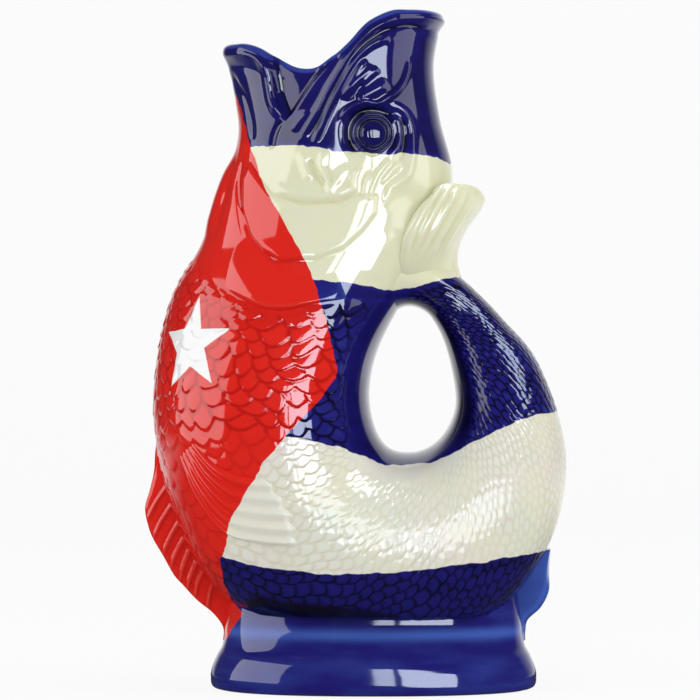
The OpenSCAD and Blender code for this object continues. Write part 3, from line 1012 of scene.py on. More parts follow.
    def lining_inset(self, t: Grid, angle: Grid) -> Grid:
        """How far inside the fish's skin the inner wall lies."""
        return FISH.wall + self.sunk(t, angle, self.mouth_lining)

    def lining(self, angles: Grid) -> Grid:
        """The inner wall, from the neck up to the rim."""
        t, turns = crossed(np.linspace(1, 0, self.inner_rows)[:, None], angles)
        return self.point(t, turns, self.lining_inset(t, turns))

    def rim(self, angles: Grid) -> Grid:
        """Rounds the rim over.

        Args:
            angles: Angles from the nape, one to a column.

        Returns:
            Half an ellipse from the inner wall over to the outside.
        """
        turn = np.linspace(0, math.pi, self.crown_rows + 2)[1:-1, None]
        start, end = self.skin_inset(0 * angles, angles), self.lining_inset(0 * angles, angles)
        inset = start + (end - start) * (1 + np.cos(turn)) / 2
        return self.point(0 * inset, angles + 0 * inset, inset, self.crown * np.sin(turn))

    def pooled(self, points: Grid) -> Grid:
        """Tells how dark the head's cobalt is painted: a darker ground, and painted shade round the eye, at
        the corner of the mouth and behind the brow.

        Args:
            points: Points of the skin.

        Returns:
            1 where the painted shade is deepest, and 0 on the white.
        """
        at = VIEW.pixels(points.reshape(-1, 3))
        extra = np.max([pool.relief(at) for pool in self.pools], axis=0).reshape(points.shape[:-1])
        painted = smooth_step(-Paint.within(points, Paint.neck) / self.white_ramp - self.white_gap)
        return np.maximum(extra, self.cobalt_pool) * painted

    def relief(self, points: Grid) -> Grid:
        """Adds up the heights of the folds and of the cheek plate."""
        at = VIEW.pixels(points).reshape(-1, 2)
        return sum(form.relief(at) for form in (*self.folds, self.cheek)).reshape(points.shape[:-1])

    def build(self) -> Shell:
        """Works out the inner wall, the crown of the rim and the modelled outer skin, in that order.

        Returns:
            A loop of rows that closes across the neck.
        """
        angles = FISH.even_angles(self.columns, self.even_station, self.flank_share)[None, :]
        down = (np.arange(self.outer_rows + 1 + SPARE) / self.outer_rows)[:, None]
        t, turns = crossed(down, angles)
        skin = self.point(t, turns, self.skin_inset(t, turns))
        out = outward(skin)
        scaled, grooved = self.scales.relief(self.stations(t, turns), FISH.turns(turns), skin)
        folded = self.relief(skin) * smooth_step(t * self.depth / self.fold_ramp)
        outer = skin + out * (folded + scaled)[..., None]
        strip = np.concatenate([self.lining(angles), self.rim(angles), outer])
        outside = slice(-len(outer), None)
        normals = grid_normals(strip)
        normals *= np.sign(np.sum(normals[outside] * out))
        hollow = hollows(strip, normals, self.groove_reach, self.groove_depth)
        hollow = np.where(hollow < 0, self.crest_share * hollow, hollow)
        hollow[:self.inner_rows] = 0.0
        # Painted shade round the eye, at the mouth and behind the brow, over the head's darker cobalt
        modelled = np.maximum(hollow[outside], self.pooled(skin))
        hollow[outside] = np.where(grooved == 0, modelled, grooved)
        kept = len(strip) - SPARE
        rows = np.concatenate([strip[:kept], self.point(t[-1:], angles, TUCK)])
        past = np.arange(self.inner_rows + 1, self.inner_rows - kept, -1.0)[:, None] + 0 * angles
        return Shell(rows, True, {kept - 1: normals[kept - 1]}, hollow[:kept + 1], past)


@dataclass(frozen=True)
class ScaledSkin:
    """A stretch of the fish's skin with its scales, as a grid."""

    points: Grid
    normals: Grid
    hollow: Grid

    @classmethod
    def over(cls, s: Grid, angles: Grid, scales: Scales) -> "ScaledSkin":
        """Raises the scales off the skin.

        Args:
            s: Stations, one to a row.
            angles: Angles, one to a column.
            scales: The scales.

        Returns:
            The points, their outward normals, and the grooves that the glaze pools in.
        """
        s, angles = crossed(s, angles)
        skin = FISH.skin(s, angles)
        out = outward(skin)
        height, hollow = scales.relief(s, FISH.turns(angles), skin)
        points = skin + out * height[..., None]
        return cls(points, facing(grid_normals(points), out), hollow)


@dataclass
class Body(Part):
    """A stretch between two stations of the belly, which is bent in a U and holds the water."""

    name: str
    start: float
    end: float
    columns: int = 460
    outer_rows: int = 202
    inner_rows: int = 8
    even_station: float = 7.5
    scales: Scales = Scales()

    @property
    def names(self) -> Names:
        """The stretch's own name, with the slot and the node of the whole body."""
        return self.name, "white_glaze", "body"

    def build(self) -> Shell:
        """Works out the scaled skin and, inside it, the smooth wall back to the first station.

        Returns:
            A loop of rows: the outer ones from the first station to the last, and the inner ones back.
        """
        angles = FISH.even_angles(self.columns, self.even_station)[None, :]
        step = (self.end - self.start) / self.outer_rows
        s = self.start + step * np.arange(-SPARE, self.outer_rows + 1 + SPARE)[:, None]
        skin = ScaledSkin.over(s, angles, self.scales)
        used = slice(SPARE, -SPARE)
        tuck = FISH.skin(s[-1:] + 0 * angles, angles, TUCK)
        s_in = np.linspace(self.end, self.start, self.inner_rows)[:, None]
        inner = FISH.skin(*crossed(s_in, angles), FISH.wall)
        rows = np.concatenate([skin.points[used], tuck, inner])
        outside = np.arange(len(rows)) < len(rows) - len(inner)
        inside = np.where(outside, -BEYOND, BEYOND)[:, None] + 0 * angles
        hollow = np.concatenate([skin.hollow[used], np.zeros((1 + len(inner), self.columns))])
        seams = {0: skin.normals[used][0], self.outer_rows: skin.normals[used][-1]}
        return Shell(rows, True, seams, hollow, inside)


@dataclass
class Tail(Part):
    """The hollow tail, which curls up to the nape as the handle.

    Its seat on the nape is an oval round a station, and reaches so many stations and degrees from it.
    """

    columns: int = 400
    outer_rows: int = 212
    inner_rows: int = 14
    even_station: float = 13.0
    seat_shares: tuple[float, ...] = (0.8, 0.55, 0.3, 0.1)
    nape: float = 4.944
    nape_reach: float = 0.496
    nape_degrees: float = 36.0
    flare: float = 2.5
    scales: Scales = Scales()
    names: ClassVar[Names] = ("tail_scaled", "cobalt_glaze", "tail")

    def nape_ring(self, share: float, angles: Grid) -> Grid:
        """An oval just under the skin of the nape, at a share of the tail's seat."""
        at = (self.nape + self.nape_reach * share * np.cos(angles),
              np.radians(self.nape_degrees) * share * np.sin(angles))
        return FISH.skin(*at) - FISH.skin_out(*at) * TUCK

    def build(self) -> Shell:
        """Works out the cavity, the scaled skin, its flare to the nape and the seat there.

        Returns:
            Rows from the blind end of the cavity out over the skin to the middle of the seat.
        """
        angles = FISH.even_angles(self.columns, self.even_station)[None, :]
        last = len(FISH.front_shares) - 1
        step = (last - FISH.root) / self.outer_rows
        s = FISH.root + step * np.arange(-SPARE, self.outer_rows + 1)[:, None]
        skin = ScaledSkin.over(s, angles, self.scales)
        blend = np.clip((s - FISH.tip) / (last - FISH.tip), 0, 1)[..., None] ** self.flare
        points = skin.points * (1 - blend) + self.nape_ring(1.0, angles) * blend
        normals = facing(grid_normals(points), skin.normals)
        s_in = np.linspace(FISH.cavity_end, FISH.root, self.inner_rows)[:, None]
        inner = FISH.skin(*crossed(s_in, angles), FISH.wall)
        seat = np.concatenate([self.nape_ring(share, angles) for share in self.seat_shares])
        rows = np.concatenate([inner, points[SPARE:], seat])
        flat = [np.zeros(inner.shape[:2]), skin.hollow[SPARE:], np.zeros(seat.shape[:2])]
        return Shell(rows, False, {len(inner): normals[SPARE]}, np.concatenate(flat))


@dataclass
class TailFin(Part):
    """The ribbed fan where the tail meets the nape.

    Its lines run up from the tail: its middle, its margin on the flank, and its seat inside the nape.
    Heights are in millimetres, and shares are of the way up or across.
    """

    rows: int = 110
    cap_rows: int = 10
    columns: int = 190
    # The ribs, and the shares that they fade over: up from the tail, at the top, and at both sides
    ribs: int = 6
    rib_height: float = 0.6
    rib_start: float = 0.25
    rib_end: float = 0.15
    rib_side: float = 0.1
    # The margin, which is proud along a lip and sinks into the skin beyond it
    margin_height: float = 2.0
    margin_share: float = 0.05
    margin_grown: float = 0.5
    plain_share: float = 0.4
    lip_place: float = 0.95
    lip_width: float = 0.09
    buried: float = 0.8
    bury_rate: float = 5.0
    seat_depth: float = 2.0
    root_share: float = 0.7
    # The free edge: how far it bulges, in pixels, and how it is rounded over
    bulge: float = 13.0
    rounding: float = 1.8
    cap_shares: Pair = (0.2, 0.99)
    groove_depth: float = 0.1
    names: ClassVar[Names] = ("tail_fin_ribbed", "white_glaze", "tail_fin")
    middle: ClassVar[Pixels] = (
        (466, 290), (461, 276), (458, 260), (461, 243), (469, 227), (480, 212), (485.5, 201))
    margin: ClassVar[Pixels] = (
        (404, 288), (399, 273), (398, 259), (401, 241), (408, 224), (418, 208), (431, 196))
    seat: ClassVar[Pixels] = (
        (424, 290), (424, 276), (426, 260), (431, 243), (437, 227), (441, 212), (443, 201))

    def build(self) -> Slab:
        """Works out a fan that arches from one flank over the nape to the other.

        Returns:
            The fan's outside, whose ribs are a wave across it that fades out on all sides, and a sheet
            inside the nape.
        """
        t = np.append(np.linspace(0, 1, self.rows), np.ones(self.cap_rows))
        over = np.append(np.zeros(self.rows), np.linspace(*self.cap_shares, self.cap_rows))[:, None, None]
        v = np.linspace(1, -1, self.columns)[None, :]
        arch, side = np.cos(v * math.pi / 2), np.sin(v * math.pi / 2)
        middle, seat = (VIEW.side_view(read_along(line, t)) for line in (self.middle, self.seat))
        flank = FISH.flank(FISH.seen_at(read_along(self.margin, t)))
        margin, reach, t = flank[:, ::2], flank[:, 1:2], t[:, None]
        grown = smooth_step((1 - np.abs(v)) / self.margin_share) * smooth_step(t / self.margin_grown)
        lip = hump(np.abs(v) - self.lip_place, self.lip_width)
        crest = self.margin_height * (self.plain_share + (1 - self.plain_share) * lip)
        p = margin[:, None] + (middle - margin)[:, None] * arch[..., None]
        p[..., 1] += self.bulge * VIEW.pixel * (1 - (2 * arch - 1) ** 4) * t**4
        y = (reach + crest * grown - self.buried * (1 - smooth_step(grown * self.bury_rate))) * side
        upper = np.stack([p[..., 0], y, p[..., 1]], axis=-1)
        fan = upper[:self.rows]
        out = facing(sheet_normals(fan), side[..., None] * (0, 1, 0))
        ends = smooth_step((t - self.rib_start) / self.rib_start) * smooth_step((1 - t) / self.rib_end)
        sides = smooth_step(arch / self.rib_side) * smooth_step((1 - self.rib_side - arch) / self.rib_side)
        rib = self.rib_height * np.cos(2 * math.pi * self.ribs * arch) * ends * sides
        fan += out * rib[:self.rows, :, None]
        upper[self.rows:] = fan[-1]
        q = margin[:, None] + (seat - margin)[:, None] * arch[..., None]
        lower = np.stack([q[..., 0], (reach - self.seat_depth) * side, q[..., 1]], axis=-1)
        rise = np.array([0.0, 0.0, self.rounding])
        kept = (1 - (1 - smooth_step(t / self.root_share)) * (1 - arch**4))[..., None]
        upper = upper * kept + lower * (1 - kept)
        upper = lower + (upper - lower) * np.sqrt(1 - over**2) + rise * over
        return Slab(upper, lower + rise * over, self.groove_depth)


@dataclass
class Blade(Part):
    """A fin that stands in the plane of symmetry. Its lines are in pixels, its sizes in millimetres.

    Its root and its free edge have as many points as each other. It swells where it meets the belly,
    and reaches some way into it.
    """

    rows: int
    columns: int
    thickness: float
    fillet: float
    sunk: float = 3.0
    # How it thins to the free edge, how it and its ribs close round that, and how far up it swells
    thinning: ClassVar[float] = 1 / 3
    edge_power: ClassVar[int] = 8
    rib_power: ClassVar[int] = 6
    edge_rate: ClassVar[float] = 6.0
    swell_share: ClassVar[float] = 0.6
    least_swell: ClassVar[float] = 0.4
    groove_reach: ClassVar[int] = 5
    groove_depth: ClassVar[float] = 0.3
    root_line: ClassVar[Pixels]
    edge_line: ClassVar[Pixels]

    def ribs(self) -> list[Fold]:
        """The ribs on both sides, of which a plain blade has none."""
        return []

    def build(self) -> Shell:
        """Works out the fin from one flank over its free edge to the other.

        Returns:
            Rows across the fin. Its half thickness falls by a third and closes round the free edge.
        """
        t = np.linspace(0, 1, self.rows)
        root, edge = (VIEW.side_view(read_along(line, t)) for line in (self.root_line, self.edge_line))
        a = np.linspace(-1, 1, self.columns)[None, :]
        v = np.cos(a * math.pi / 2)
        h = np.linalg.norm(edge - root, axis=1)[:, None]
        p = root[:, None] + unit(edge - root)[:, None] * (v * (h + self.sunk) - self.sunk)[..., None]
        at = VIEW.pixels(np.stack([p[..., 0], 0 * p[..., 0], p[..., 1]], axis=-1)).reshape(-1, 2)
        rib = sum((fold.relief(at) for fold in self.ribs()), np.zeros(len(at))).reshape(p.shape[:2])
        powers = (self.edge_power, self.rib_power)
        closing, rib_closing = (np.sqrt(np.maximum(1 - v**power, 0)) for power in powers)
        thin = self.thickness / 2 * (1 - v * self.thinning) * closing
        reach = self.swell_share * self.fillet + self.least_swell
        swell = self.fillet * np.exp(-v * h / reach) * smooth_step((1 - v) * self.edge_rate)
        y = np.sign(a) * (thin + swell + rib * rib_closing)
        points = np.stack([p[..., 0], y, p[..., 1]], axis=-1)
        out = facing(grid_normals(points), a[..., None] * (0, 1, 0))
        return Shell(points, False, hollow=hollows(points, out, self.groove_reach, self.groove_depth))


@dataclass
class FrontFin(Blade):
    """The fin on the breast, which runs down to the foot. Thin ribs lean down to its free edge."""

    rows: int = 210
    columns: int = 76
    thickness: float = 4.2
    fillet: float = 3.0
    rib_width: float = 0.55
    rib_heights: Pair = (0.9, 0.8)
    rib_taper: float = 0.1
    names: ClassVar[Names] = ("front_fin_ribbed", "red_glaze", "front_fin")
    root_line: ClassVar[Pixels] = (
        (161, 436), (162, 454), (164, 472), (167, 488), (172, 503), (181, 519), (190, 543), (201, 566),
        (212, 581), (223, 595), (234, 605), (241, 613), (239, 624), (233, 634))
    edge_line: ClassVar[Pixels] = (
        (157, 436), (155, 454), (154, 471), (150, 489), (145, 508), (148.5, 527), (153.5, 539.5),
        (163, 555.6), (174, 575), (183, 585), (197, 600), (213, 613), (223, 627), (223, 640))
    high_ribs: ClassVar[tuple[Pixels, ...]] = (
        ((167, 486), (156, 502), (147, 520)), ((173, 503), (161, 521), (152, 541)),
        ((180, 520), (169, 539), (161, 559)), ((185, 536), (175, 554), (169, 573)),
        ((190, 548), (183, 566), (179, 585)), ((197, 560), (190, 577), (186, 594)))
    low_ribs: ClassVar[tuple[Pixels, ...]] = (
        ((203, 570), (197, 585), (194, 601)), ((213, 581), (209, 595), (207, 610)))

    def ribs(self) -> list[Fold]:
        """The ribs, which are lower near the foot."""
        sets = zip((self.high_ribs, self.low_ribs), self.rib_heights)
        return [Fold(line, self.rib_width, height, self.rib_taper)
                for lines, height in sets for line in lines]


@dataclass
class RearFin(Blade):
    """The small smooth fin between the tail's root and the foot, whose cobalt is painted lighter."""

    rows: int = 110
    columns: int = 60
    thickness: float = 6.0
    fillet: float = 9.0
    thin_glaze: float = 0.75
    names: ClassVar[Names] = ("rear_fin_smooth", "cobalt_glaze", "rear_fin")
    root_line: ClassVar[Pixels] = (
        (512, 640), (508, 622), (508, 606), (514, 594), (524, 582), (536, 566), (546, 550))
    edge_line: ClassVar[Pixels] = (
        (525.3, 640), (525.5, 630), (528, 619.5), (541, 607), (549, 590), (549, 570), (551, 548))

    def build(self) -> Shell:
        """Works out the blade and lightens its cobalt."""
        shell = super().build()
        return replace(shell, hollow=shell.hollow - self.thin_glaze)


@dataclass
class Sprig(Part):
    """A moulded sheet that is laid on a flank. Lengths are in millimetres."""

    flank: Flank
    groove_depth: float
    seat_depth: ClassVar[float] = 2.0
    own_names: ClassVar[Names]

    @property
    def names(self) -> Names:
        """The names of the piece and its node, which begin with the flank's side."""
        name, slot, node = self.own_names
        return f"{self.flank.side}_{name}", slot, f"{self.flank.side}_{node}"

    def laid(self, p: Grid, lift: Grid) -> Slab:
        """Lays a sheet over the flank and closes it with one under the skin.

        Args:
            p: Points of the side view.
            lift: How far each stands off the skin.

        Returns:
            The two sheets.
        """
        under = np.full_like(lift, -self.seat_depth)
        upper, lower = (FISH.lifted(p, height) * self.flank.mirror for height in (lift, under))
        return Slab(upper, lower, self.groove_depth)


@dataclass
class SideFin(Sprig):
    """A fan of rays on a flank: they sweep down from the breast and bend back towards the tail.

    Shares are of the way along the rays or across them, and bulge and lobe are in pixels.
    """

    rows: int = 130
    columns: int = 170
    rays: int = 5
    height: float = 2.0
    ray_height: float = 1.5
    bulge: float = 9.0
    lobe: float = 3.0
    # How the fan sinks into the skin at its upper and lower edges, at its root and at its free edge
    upper_share: float = 0.04
    lower_share: float = 0.13
    root_share: float = 0.15
    free_share: float = 0.06
    proud: float = 0.3
    buried: float = 0.9
    # How fast the fan and its rays rise from the root, and how high its upper and lower edges are
    fan_rate: float = 1.4
    ray_rate: float = 2.0
    edge_height: float = 0.6
    groove_depth: float = 0.3
    own_names: ClassVar[Names] = ("side_fin_rayed", "white_glaze", "side_fin")
    upper_line: ClassVar[Pixels] = (
        (188, 438), (200, 449), (216, 463), (234, 472), (250, 476), (264, 477))
    lower_line: ClassVar[Pixels] = (
        (174, 446), (184, 470), (198, 500), (224, 536), (258, 547), (298, 551))

    def build(self) -> Slab:
        """Works out the fan between its upper and lower lines.

        Returns:
            The fan's outside, which sinks into the skin at its edges, and a sheet under the skin.
        """
        t = np.linspace(0, 1, self.rows)[:, None]
        v = np.linspace(0, 1, self.columns)[None, :]
        upper, lower = (read_along(line, t) for line in (self.upper_line, self.lower_line))
        at = upper * (1 - v)[..., None] + lower * v[..., None]
        across = np.sin(math.pi * v)
        ray = np.sin(math.pi * self.rays * v) ** 2
        at[..., 0] += (self.bulge * across + self.lobe * ray) * t**3
        sides = smooth_step(v / self.upper_share) * smooth_step((1 - v) / self.lower_share)
        edge = sides * smooth_step((1 - t) / self.free_share) * smooth_step(t / self.root_share)
        fan = smooth_step(t * self.fan_rate) * (self.edge_height + (1 - self.edge_height) * across)
        rise = self.height * fan + self.ray_height * ray * smooth_step(t * self.ray_rate)
        return self.laid(FISH.seen_at(at), (self.proud + rise) * edge - self.buried * (1 - edge))


@dataclass
class GillCover(Sprig):
    """A smooth plate behind the cheek, which stands proud along its free edge.

    Its lines are shares of the jug's length and of its height above the foot.
    """

    rows: int = 70
    columns: int = 150
    height: float = 2.6
    # The stretch that stays flat, and how the plate fades out along and across
    flat_share: float = 0.22
    end_share: float = 0.22
    free_share: float = 0.09
    fullness: float = 0.6
    rise_rate: float = 1.15
    root_rate: float = 6.0
    along_rate: float = 5.0
    buried: float = 0.5
    groove_depth: float = 0.4
    own_names: ClassVar[Names] = ("gill_plate", "white_glaze", "gill_cover")
    cheek_shares: ClassVar[Grid] = np.array([
        (0.057, 0.600), (-0.100, 0.567), (-0.194, 0.588), (-0.289, 0.693)])
    free_shares: ClassVar[Grid] = np.array([
        (0.069, 0.527), (-0.070, 0.516), (-0.200, 0.502), (-0.328, 0.542)])

    def build(self) -> Slab:
        """Works out the plate from the cheek to its free edge.

        Returns:
            The plate's outside, which sinks into the skin at its edges, and a sheet under the skin.
        """
        t = np.linspace(0, 1, self.rows)[:, None]
        v = np.linspace(0, 1, self.columns)[None, :]
        cheek, free = read_along(self.cheek_shares, v), read_along(self.free_shares, v)
        p = FISH.placed(cheek * (1 - t)[..., None] + free * t[..., None])
        along = np.clip((v - self.flat_share) / (1 - self.flat_share), 0, 1)
        along = np.sin(math.pi * along) ** self.fullness
        edge = smooth_step((1 - t) / self.free_share) * smooth_step((1 - v) / self.end_share)
        shown = smooth_step(t * self.root_rate) * edge * smooth_step(along * self.along_rate)
        rise = self.height * smooth_step(t * self.rise_rate) * along * edge
        return self.laid(p, rise - self.buried * (1 - shown))


@dataclass
class Eye(Sprig):
    """A domed pupil in two rings. The radius is in millimetres, and the profile in shares of it."""

    radius: float = 8.4
    facets: int = 110
    steps: int = 80
    height: float = 2.4
    # The rings' point: how far it is drawn out, how wide it is and where it begins
    pointed: float = 0.12
    point_width: float = 0.4
    point_shares: Pair = (0.55, 0.3)
    # The underside, which lies in the head: its depth, and its radii as it closes
    under_depth: float = 2.8
    under_shares: tuple[float, ...] = (0.9, 0.5, 0.05)
    # How much painted shade darkens the eye's cobalt, and how far the rings stand out from that
    pooled: float = 0.7
    contrast: float = 1.6
    groove_reach: int = 3
    groove_depth: float = 0.12
    own_names: ClassVar[Names] = ("eye_domed", "cobalt_glaze", "eye")
    centre: ClassVar[Pair] = (373.0, 133.5)
    radius_shares: ClassVar[Grid] = np.array([
        0.04, 0.25, 0.45, 0.57, 0.62, 0.67, 0.73, 0.79, 0.84, 0.92, 1.0, 1.06])
    height_shares: ClassVar[Grid] = np.array([
        1.0, 0.95, 0.76, 0.50, 0.20, 0.42, 0.66, 0.50, 0.20, 0.52, 0.25, -0.8])

    def build(self) -> Shell:
        """Turns the profile round the eye's centre on the flank, and draws the rings down to a point.

        Returns:
            Rings from the middle of the pupil out and back to the middle underneath.
        """
        k = np.linspace(0, 1, self.steps)
        reach = np.append(read_along(self.radius_shares, k), self.under_shares)
        under = np.full(len(self.under_shares), -self.under_depth)
        height = np.append(read_along(self.height_shares, k) * self.height, under)
        angle = np.arange(self.facets) / self.facets * 2 * math.pi
        ring = np.stack([np.cos(angle), np.sin(angle)], axis=-1)
        start, ramp = self.point_shares
        down = hump(angle - 1.5 * math.pi, self.point_width)
        drawn = self.pointed * down * smooth_step((reach[:, None] - start) / ramp)
        far = self.radius * reach[:, None] * (1 + drawn)
        p = FISH.seen_at(np.array(self.centre)) + far[..., None] * ring
        points = FISH.lifted(p, height[:, None] + 0 * angle) * self.flank.mirror
        up = grid_normals(points)
        up *= np.sign(np.sum(up[:self.steps, :, 1]) * self.flank.value)
        grooves = hollows(points, up, self.groove_reach, self.groove_depth)
        # The eye's cobalt is darkened all over with painted shade
        return Shell(points, False, hollow=np.clip(self.contrast * grooves + self.pooled, -1, 1))


@dataclass
class Foot(Part):
    """The oval foot: bead, waist and cove outside, and a hollow inside. Lengths are in millimetres."""

    columns: int = 380
    steps: int = 130
    even_station: float = 10.0
    length: float = 136.0
    width: float = 102.0
    seat_length: float = 121.0
    seat_width: float = 80.0
    wall: float = 6.0
    centre: float = 7.2
    first_station: float = 8.0
    bare_rows: int = 4
    # How uneven it is, in two sets of waves that twist, below rings that stay even
    unevenness: float = 0.18
    waves: tuple[int, int] = (3, 5)
    twists: Pair = (1.7, -1.0)
    even_rings: float = 2.0
    # Grooves, and the height and width of a lighter band on the cove, partly thin glaze and partly painted
    # highlight
    groove_reach: int = 8
    groove_depth: float = 0.5
    thin_band: Pair = (24.5, 2.4)
    thin_glaze: float = 0.9
    names: ClassVar[Names] = ("foot_glazed", "cobalt_glaze", "foot")
    # How far in the outside lies at each height, at the ends of the oval and on its flanks
    height_shares: ClassVar[Grid] = np.array([
        1.10, 1, 0.87, 0.73, 0.55, 0.43, 0.30, 0.20, 0.14, 0.08, 0.025, 0])
    end_shares: ClassVar[Grid] = np.array([
        1.06, 1, 0.90, 0.80, 0.68, 0.39, 0.13, 0.02, 0, 0.02, 0.14, 0.45])
    flank_shares: ClassVar[Grid] = np.array([
        1.06, 1, 0.93, 0.75, 0.40, 0.16, 0.055, 0.01, 0, 0.01, 0.10, 0.45])
    # How far in the hollow lies, and its height
    bore_shares: ClassVar[Grid] = np.array([(0.45, 0.0), (0.09, 0.25), (0.76, 0.70), (1.0, 1.0)])

    def oval(self, angle: Grid, share: Grid, inset: float) -> Grid:
        """Draws the foot in plan.

        Args:
            angle: Angles round it.
            share: Shares of the way in from the bead to the seat.
            inset: How far inside that the points lie.

        Returns:
            Points of a superellipse.
        """
        x = (self.length * (1 - share) + self.seat_length * share) / 2 - inset
        y = (self.width * (1 - share) + self.seat_width * share) / 2 - inset
        c, s = FISH.rounded(np.cos(angle)), FISH.rounded(np.sin(angle))
        return np.stack([self.centre + x * c, y * s], axis=-1)

    def underside(self, p: Grid) -> Grid:
        """Finds the belly over points in plan.

        Args:
            p: Points in plan.

        Returns:
            The belly's height over each. Its station is found by halving along the spine.
        """
        low, high = np.full(p.shape[:-1], self.first_station), np.full(p.shape[:-1], FISH.root)
        for _ in range(FISH.halvings):
            s = (low + high) / 2
            f, b = FISH.front(s), FISH.back(s)
            share = np.clip(np.abs(p[..., 1]) / FISH.half_width(s), 0, 1)
            full = (1 - share**FISH.squareness) ** (1 / FISH.squareness)
            at = (f + b) / 2 - (b - f) / 2 * full[..., None]
            before = at[..., 0] < p[..., 0]
            low, high = np.where(before, s, low), np.where(before, high, s)
        return np.maximum(at[..., 1], FISH.foot_height)

    def ring(self, share: Grid, height: Grid, angle: Grid, inset: float) -> Grid:
        """Draws rings of the foot.

        Args:
            share: Shares of the way in from the bead to the seat.
            height: Their heights, as shares of the foot's.
            angle: Angles round them.
            inset: How far inside the outline they lie.

        Returns:
            Points, which rise to the belly over the two ends of the foot.
        """
        p = self.oval(angle, share, inset)
        rise = self.underside(self.oval(angle, np.ones_like(angle), inset)) - FISH.foot_height
        z = height * FISH.foot_height + rise * height**4
        return np.concatenate([p, z[..., None]], axis=-1)

    def build(self) -> Shell:
        """Works out the outside, the standing ring and the hollow.

        Returns:
            A loop of rows, down the outside and up in the hollow.
        """
        angle = FISH.even_angles(self.columns, self.even_station)[None, :]
        k = np.linspace(0, len(self.height_shares) - 1, self.steps)[:, None]
        ends = np.square(np.cos(angle))
        share = spline(self.end_shares, k) * ends + spline(self.flank_shares, k) * (1 - ends)
        outer = self.ring(share, spline(self.height_shares, k), angle, 0.0)
        first, second = (np.sin(wave * angle + k * twist) for wave, twist in zip(self.waves, self.twists))
        wobble = self.unevenness * first * second * smooth_step((k - self.even_rings) / self.even_rings)
        outer[..., :2] *= 1 + (wobble / self.length)[..., None]
        inner = self.ring(self.bore_shares[:, :1] + 0 * angle, self.bore_shares[:, 1:], angle, self.wall)
        rows = np.concatenate([outer, inner])
        grooves = hollows(outer, outward(outer), self.groove_reach, self.groove_depth)
        # A lighter band on the cove: thin glaze and painted highlight
        thin = self.thin_glaze * hump(outer[..., 2] - self.thin_band[0], self.thin_band[1])
        hollow = np.concatenate([grooves - thin, np.zeros(inner.shape[:2])])
        return Shell(rows, True, hollow=hollow)

    def dress(self, finishes: Finishes) -> None:
        """Builds the foot, glazes it and leaves its standing ring and hollow bare.

        Args:
            finishes: The materials.
        """
        name, slot, node = self.names
        shell = self.build()
        foot = Piece(name, shell)
        foot.dress([finishes.glaze, finishes.clay], slot, node)
        bare = np.arange(len(shell.rows)) >= self.steps - self.bare_rows
        foot.mesh.polygons.foreach_set("material_index", np.repeat(bare, self.columns).astype(np.int32))


def linear(colour: str) -> tuple[float, float, float, float]:
    """Turns an sRGB hex colour to linear light, by the sRGB curve, at full opacity."""
    channels = (int(colour[k:k + 2], 16) / 255 for k in (1, 3, 5))
    return (*(c / 12.92 if c <= 0.04045 else ((c + 0.055) / 1.055) ** 2.4 for c in channels), 1.0)


def empty_nodes(owner: Any) -> Tree:
    """Gives a material or a world an empty set of nodes."""
    owner.use_nodes = True
    owner.node_tree.nodes.clear()
    return owner.node_tree


def add_node(tree: Tree, kind: str, inputs: Mapping[Any, Any], **settings: Any) -> bpy.types.Node:
    """Adds a node, sets it up and links it.

    Args:
        tree: The material's or the world's nodes.
        kind: The node's type.
        inputs: A value, or a socket to link from, for each input by name or number.
        settings: The node's own settings.

    Returns:
        The node.
    """
    node = tree.nodes.new(kind)
    for name, value in settings.items():
        setattr(node, name, value)
    for name, value in inputs.items():
        if isinstance(value, Socket):
            tree.links.new(value, node.inputs[name])
        else:
            node.inputs[name].default_value = value
    return node


def carried(tree: Tree, name: str) -> Socket:
    """Reads a number that the vertices carry."""
    return add_node(tree, "ShaderNodeAttribute", {}, attribute_name=name).outputs["Fac"]


def noise(tree: Tree, place: Socket, size: float, detail: float) -> Socket:
    """Makes a cloudy pattern from 0 to 1, whose grain has a size in millimetres."""
    inputs = {"Vector": place, "Scale": 1 / MM / size, "Detail": detail}
    return add_node(tree, "ShaderNodeTexNoise", inputs).outputs["Fac"]


def ramped(tree: Tree, value: Socket, span: Pair,
           to: Pair = (0.0, 1.0), **settings: Any) -> Socket:
    """Maps a number from one span to another and holds it at the ends."""
    inputs = dict(enumerate((value, *span, *to)))
    return add_node(tree, "ShaderNodeMapRange", inputs, **settings).outputs[0]


def maths(tree: Tree, operation: str, *values: Any) -> Socket:
    """Works out one number from others."""
    return add_node(tree, "ShaderNodeMath", dict(enumerate(values)), operation=operation).outputs[0]


def layered(tree: Tree, share: Socket, under: Any, over: Any) -> Socket:
    """Lays a share of one colour over another."""
    inputs = {0: share, 6: under, 7: over}
    return add_node(tree, "ShaderNodeMix", inputs, data_type="RGBA").outputs[2]


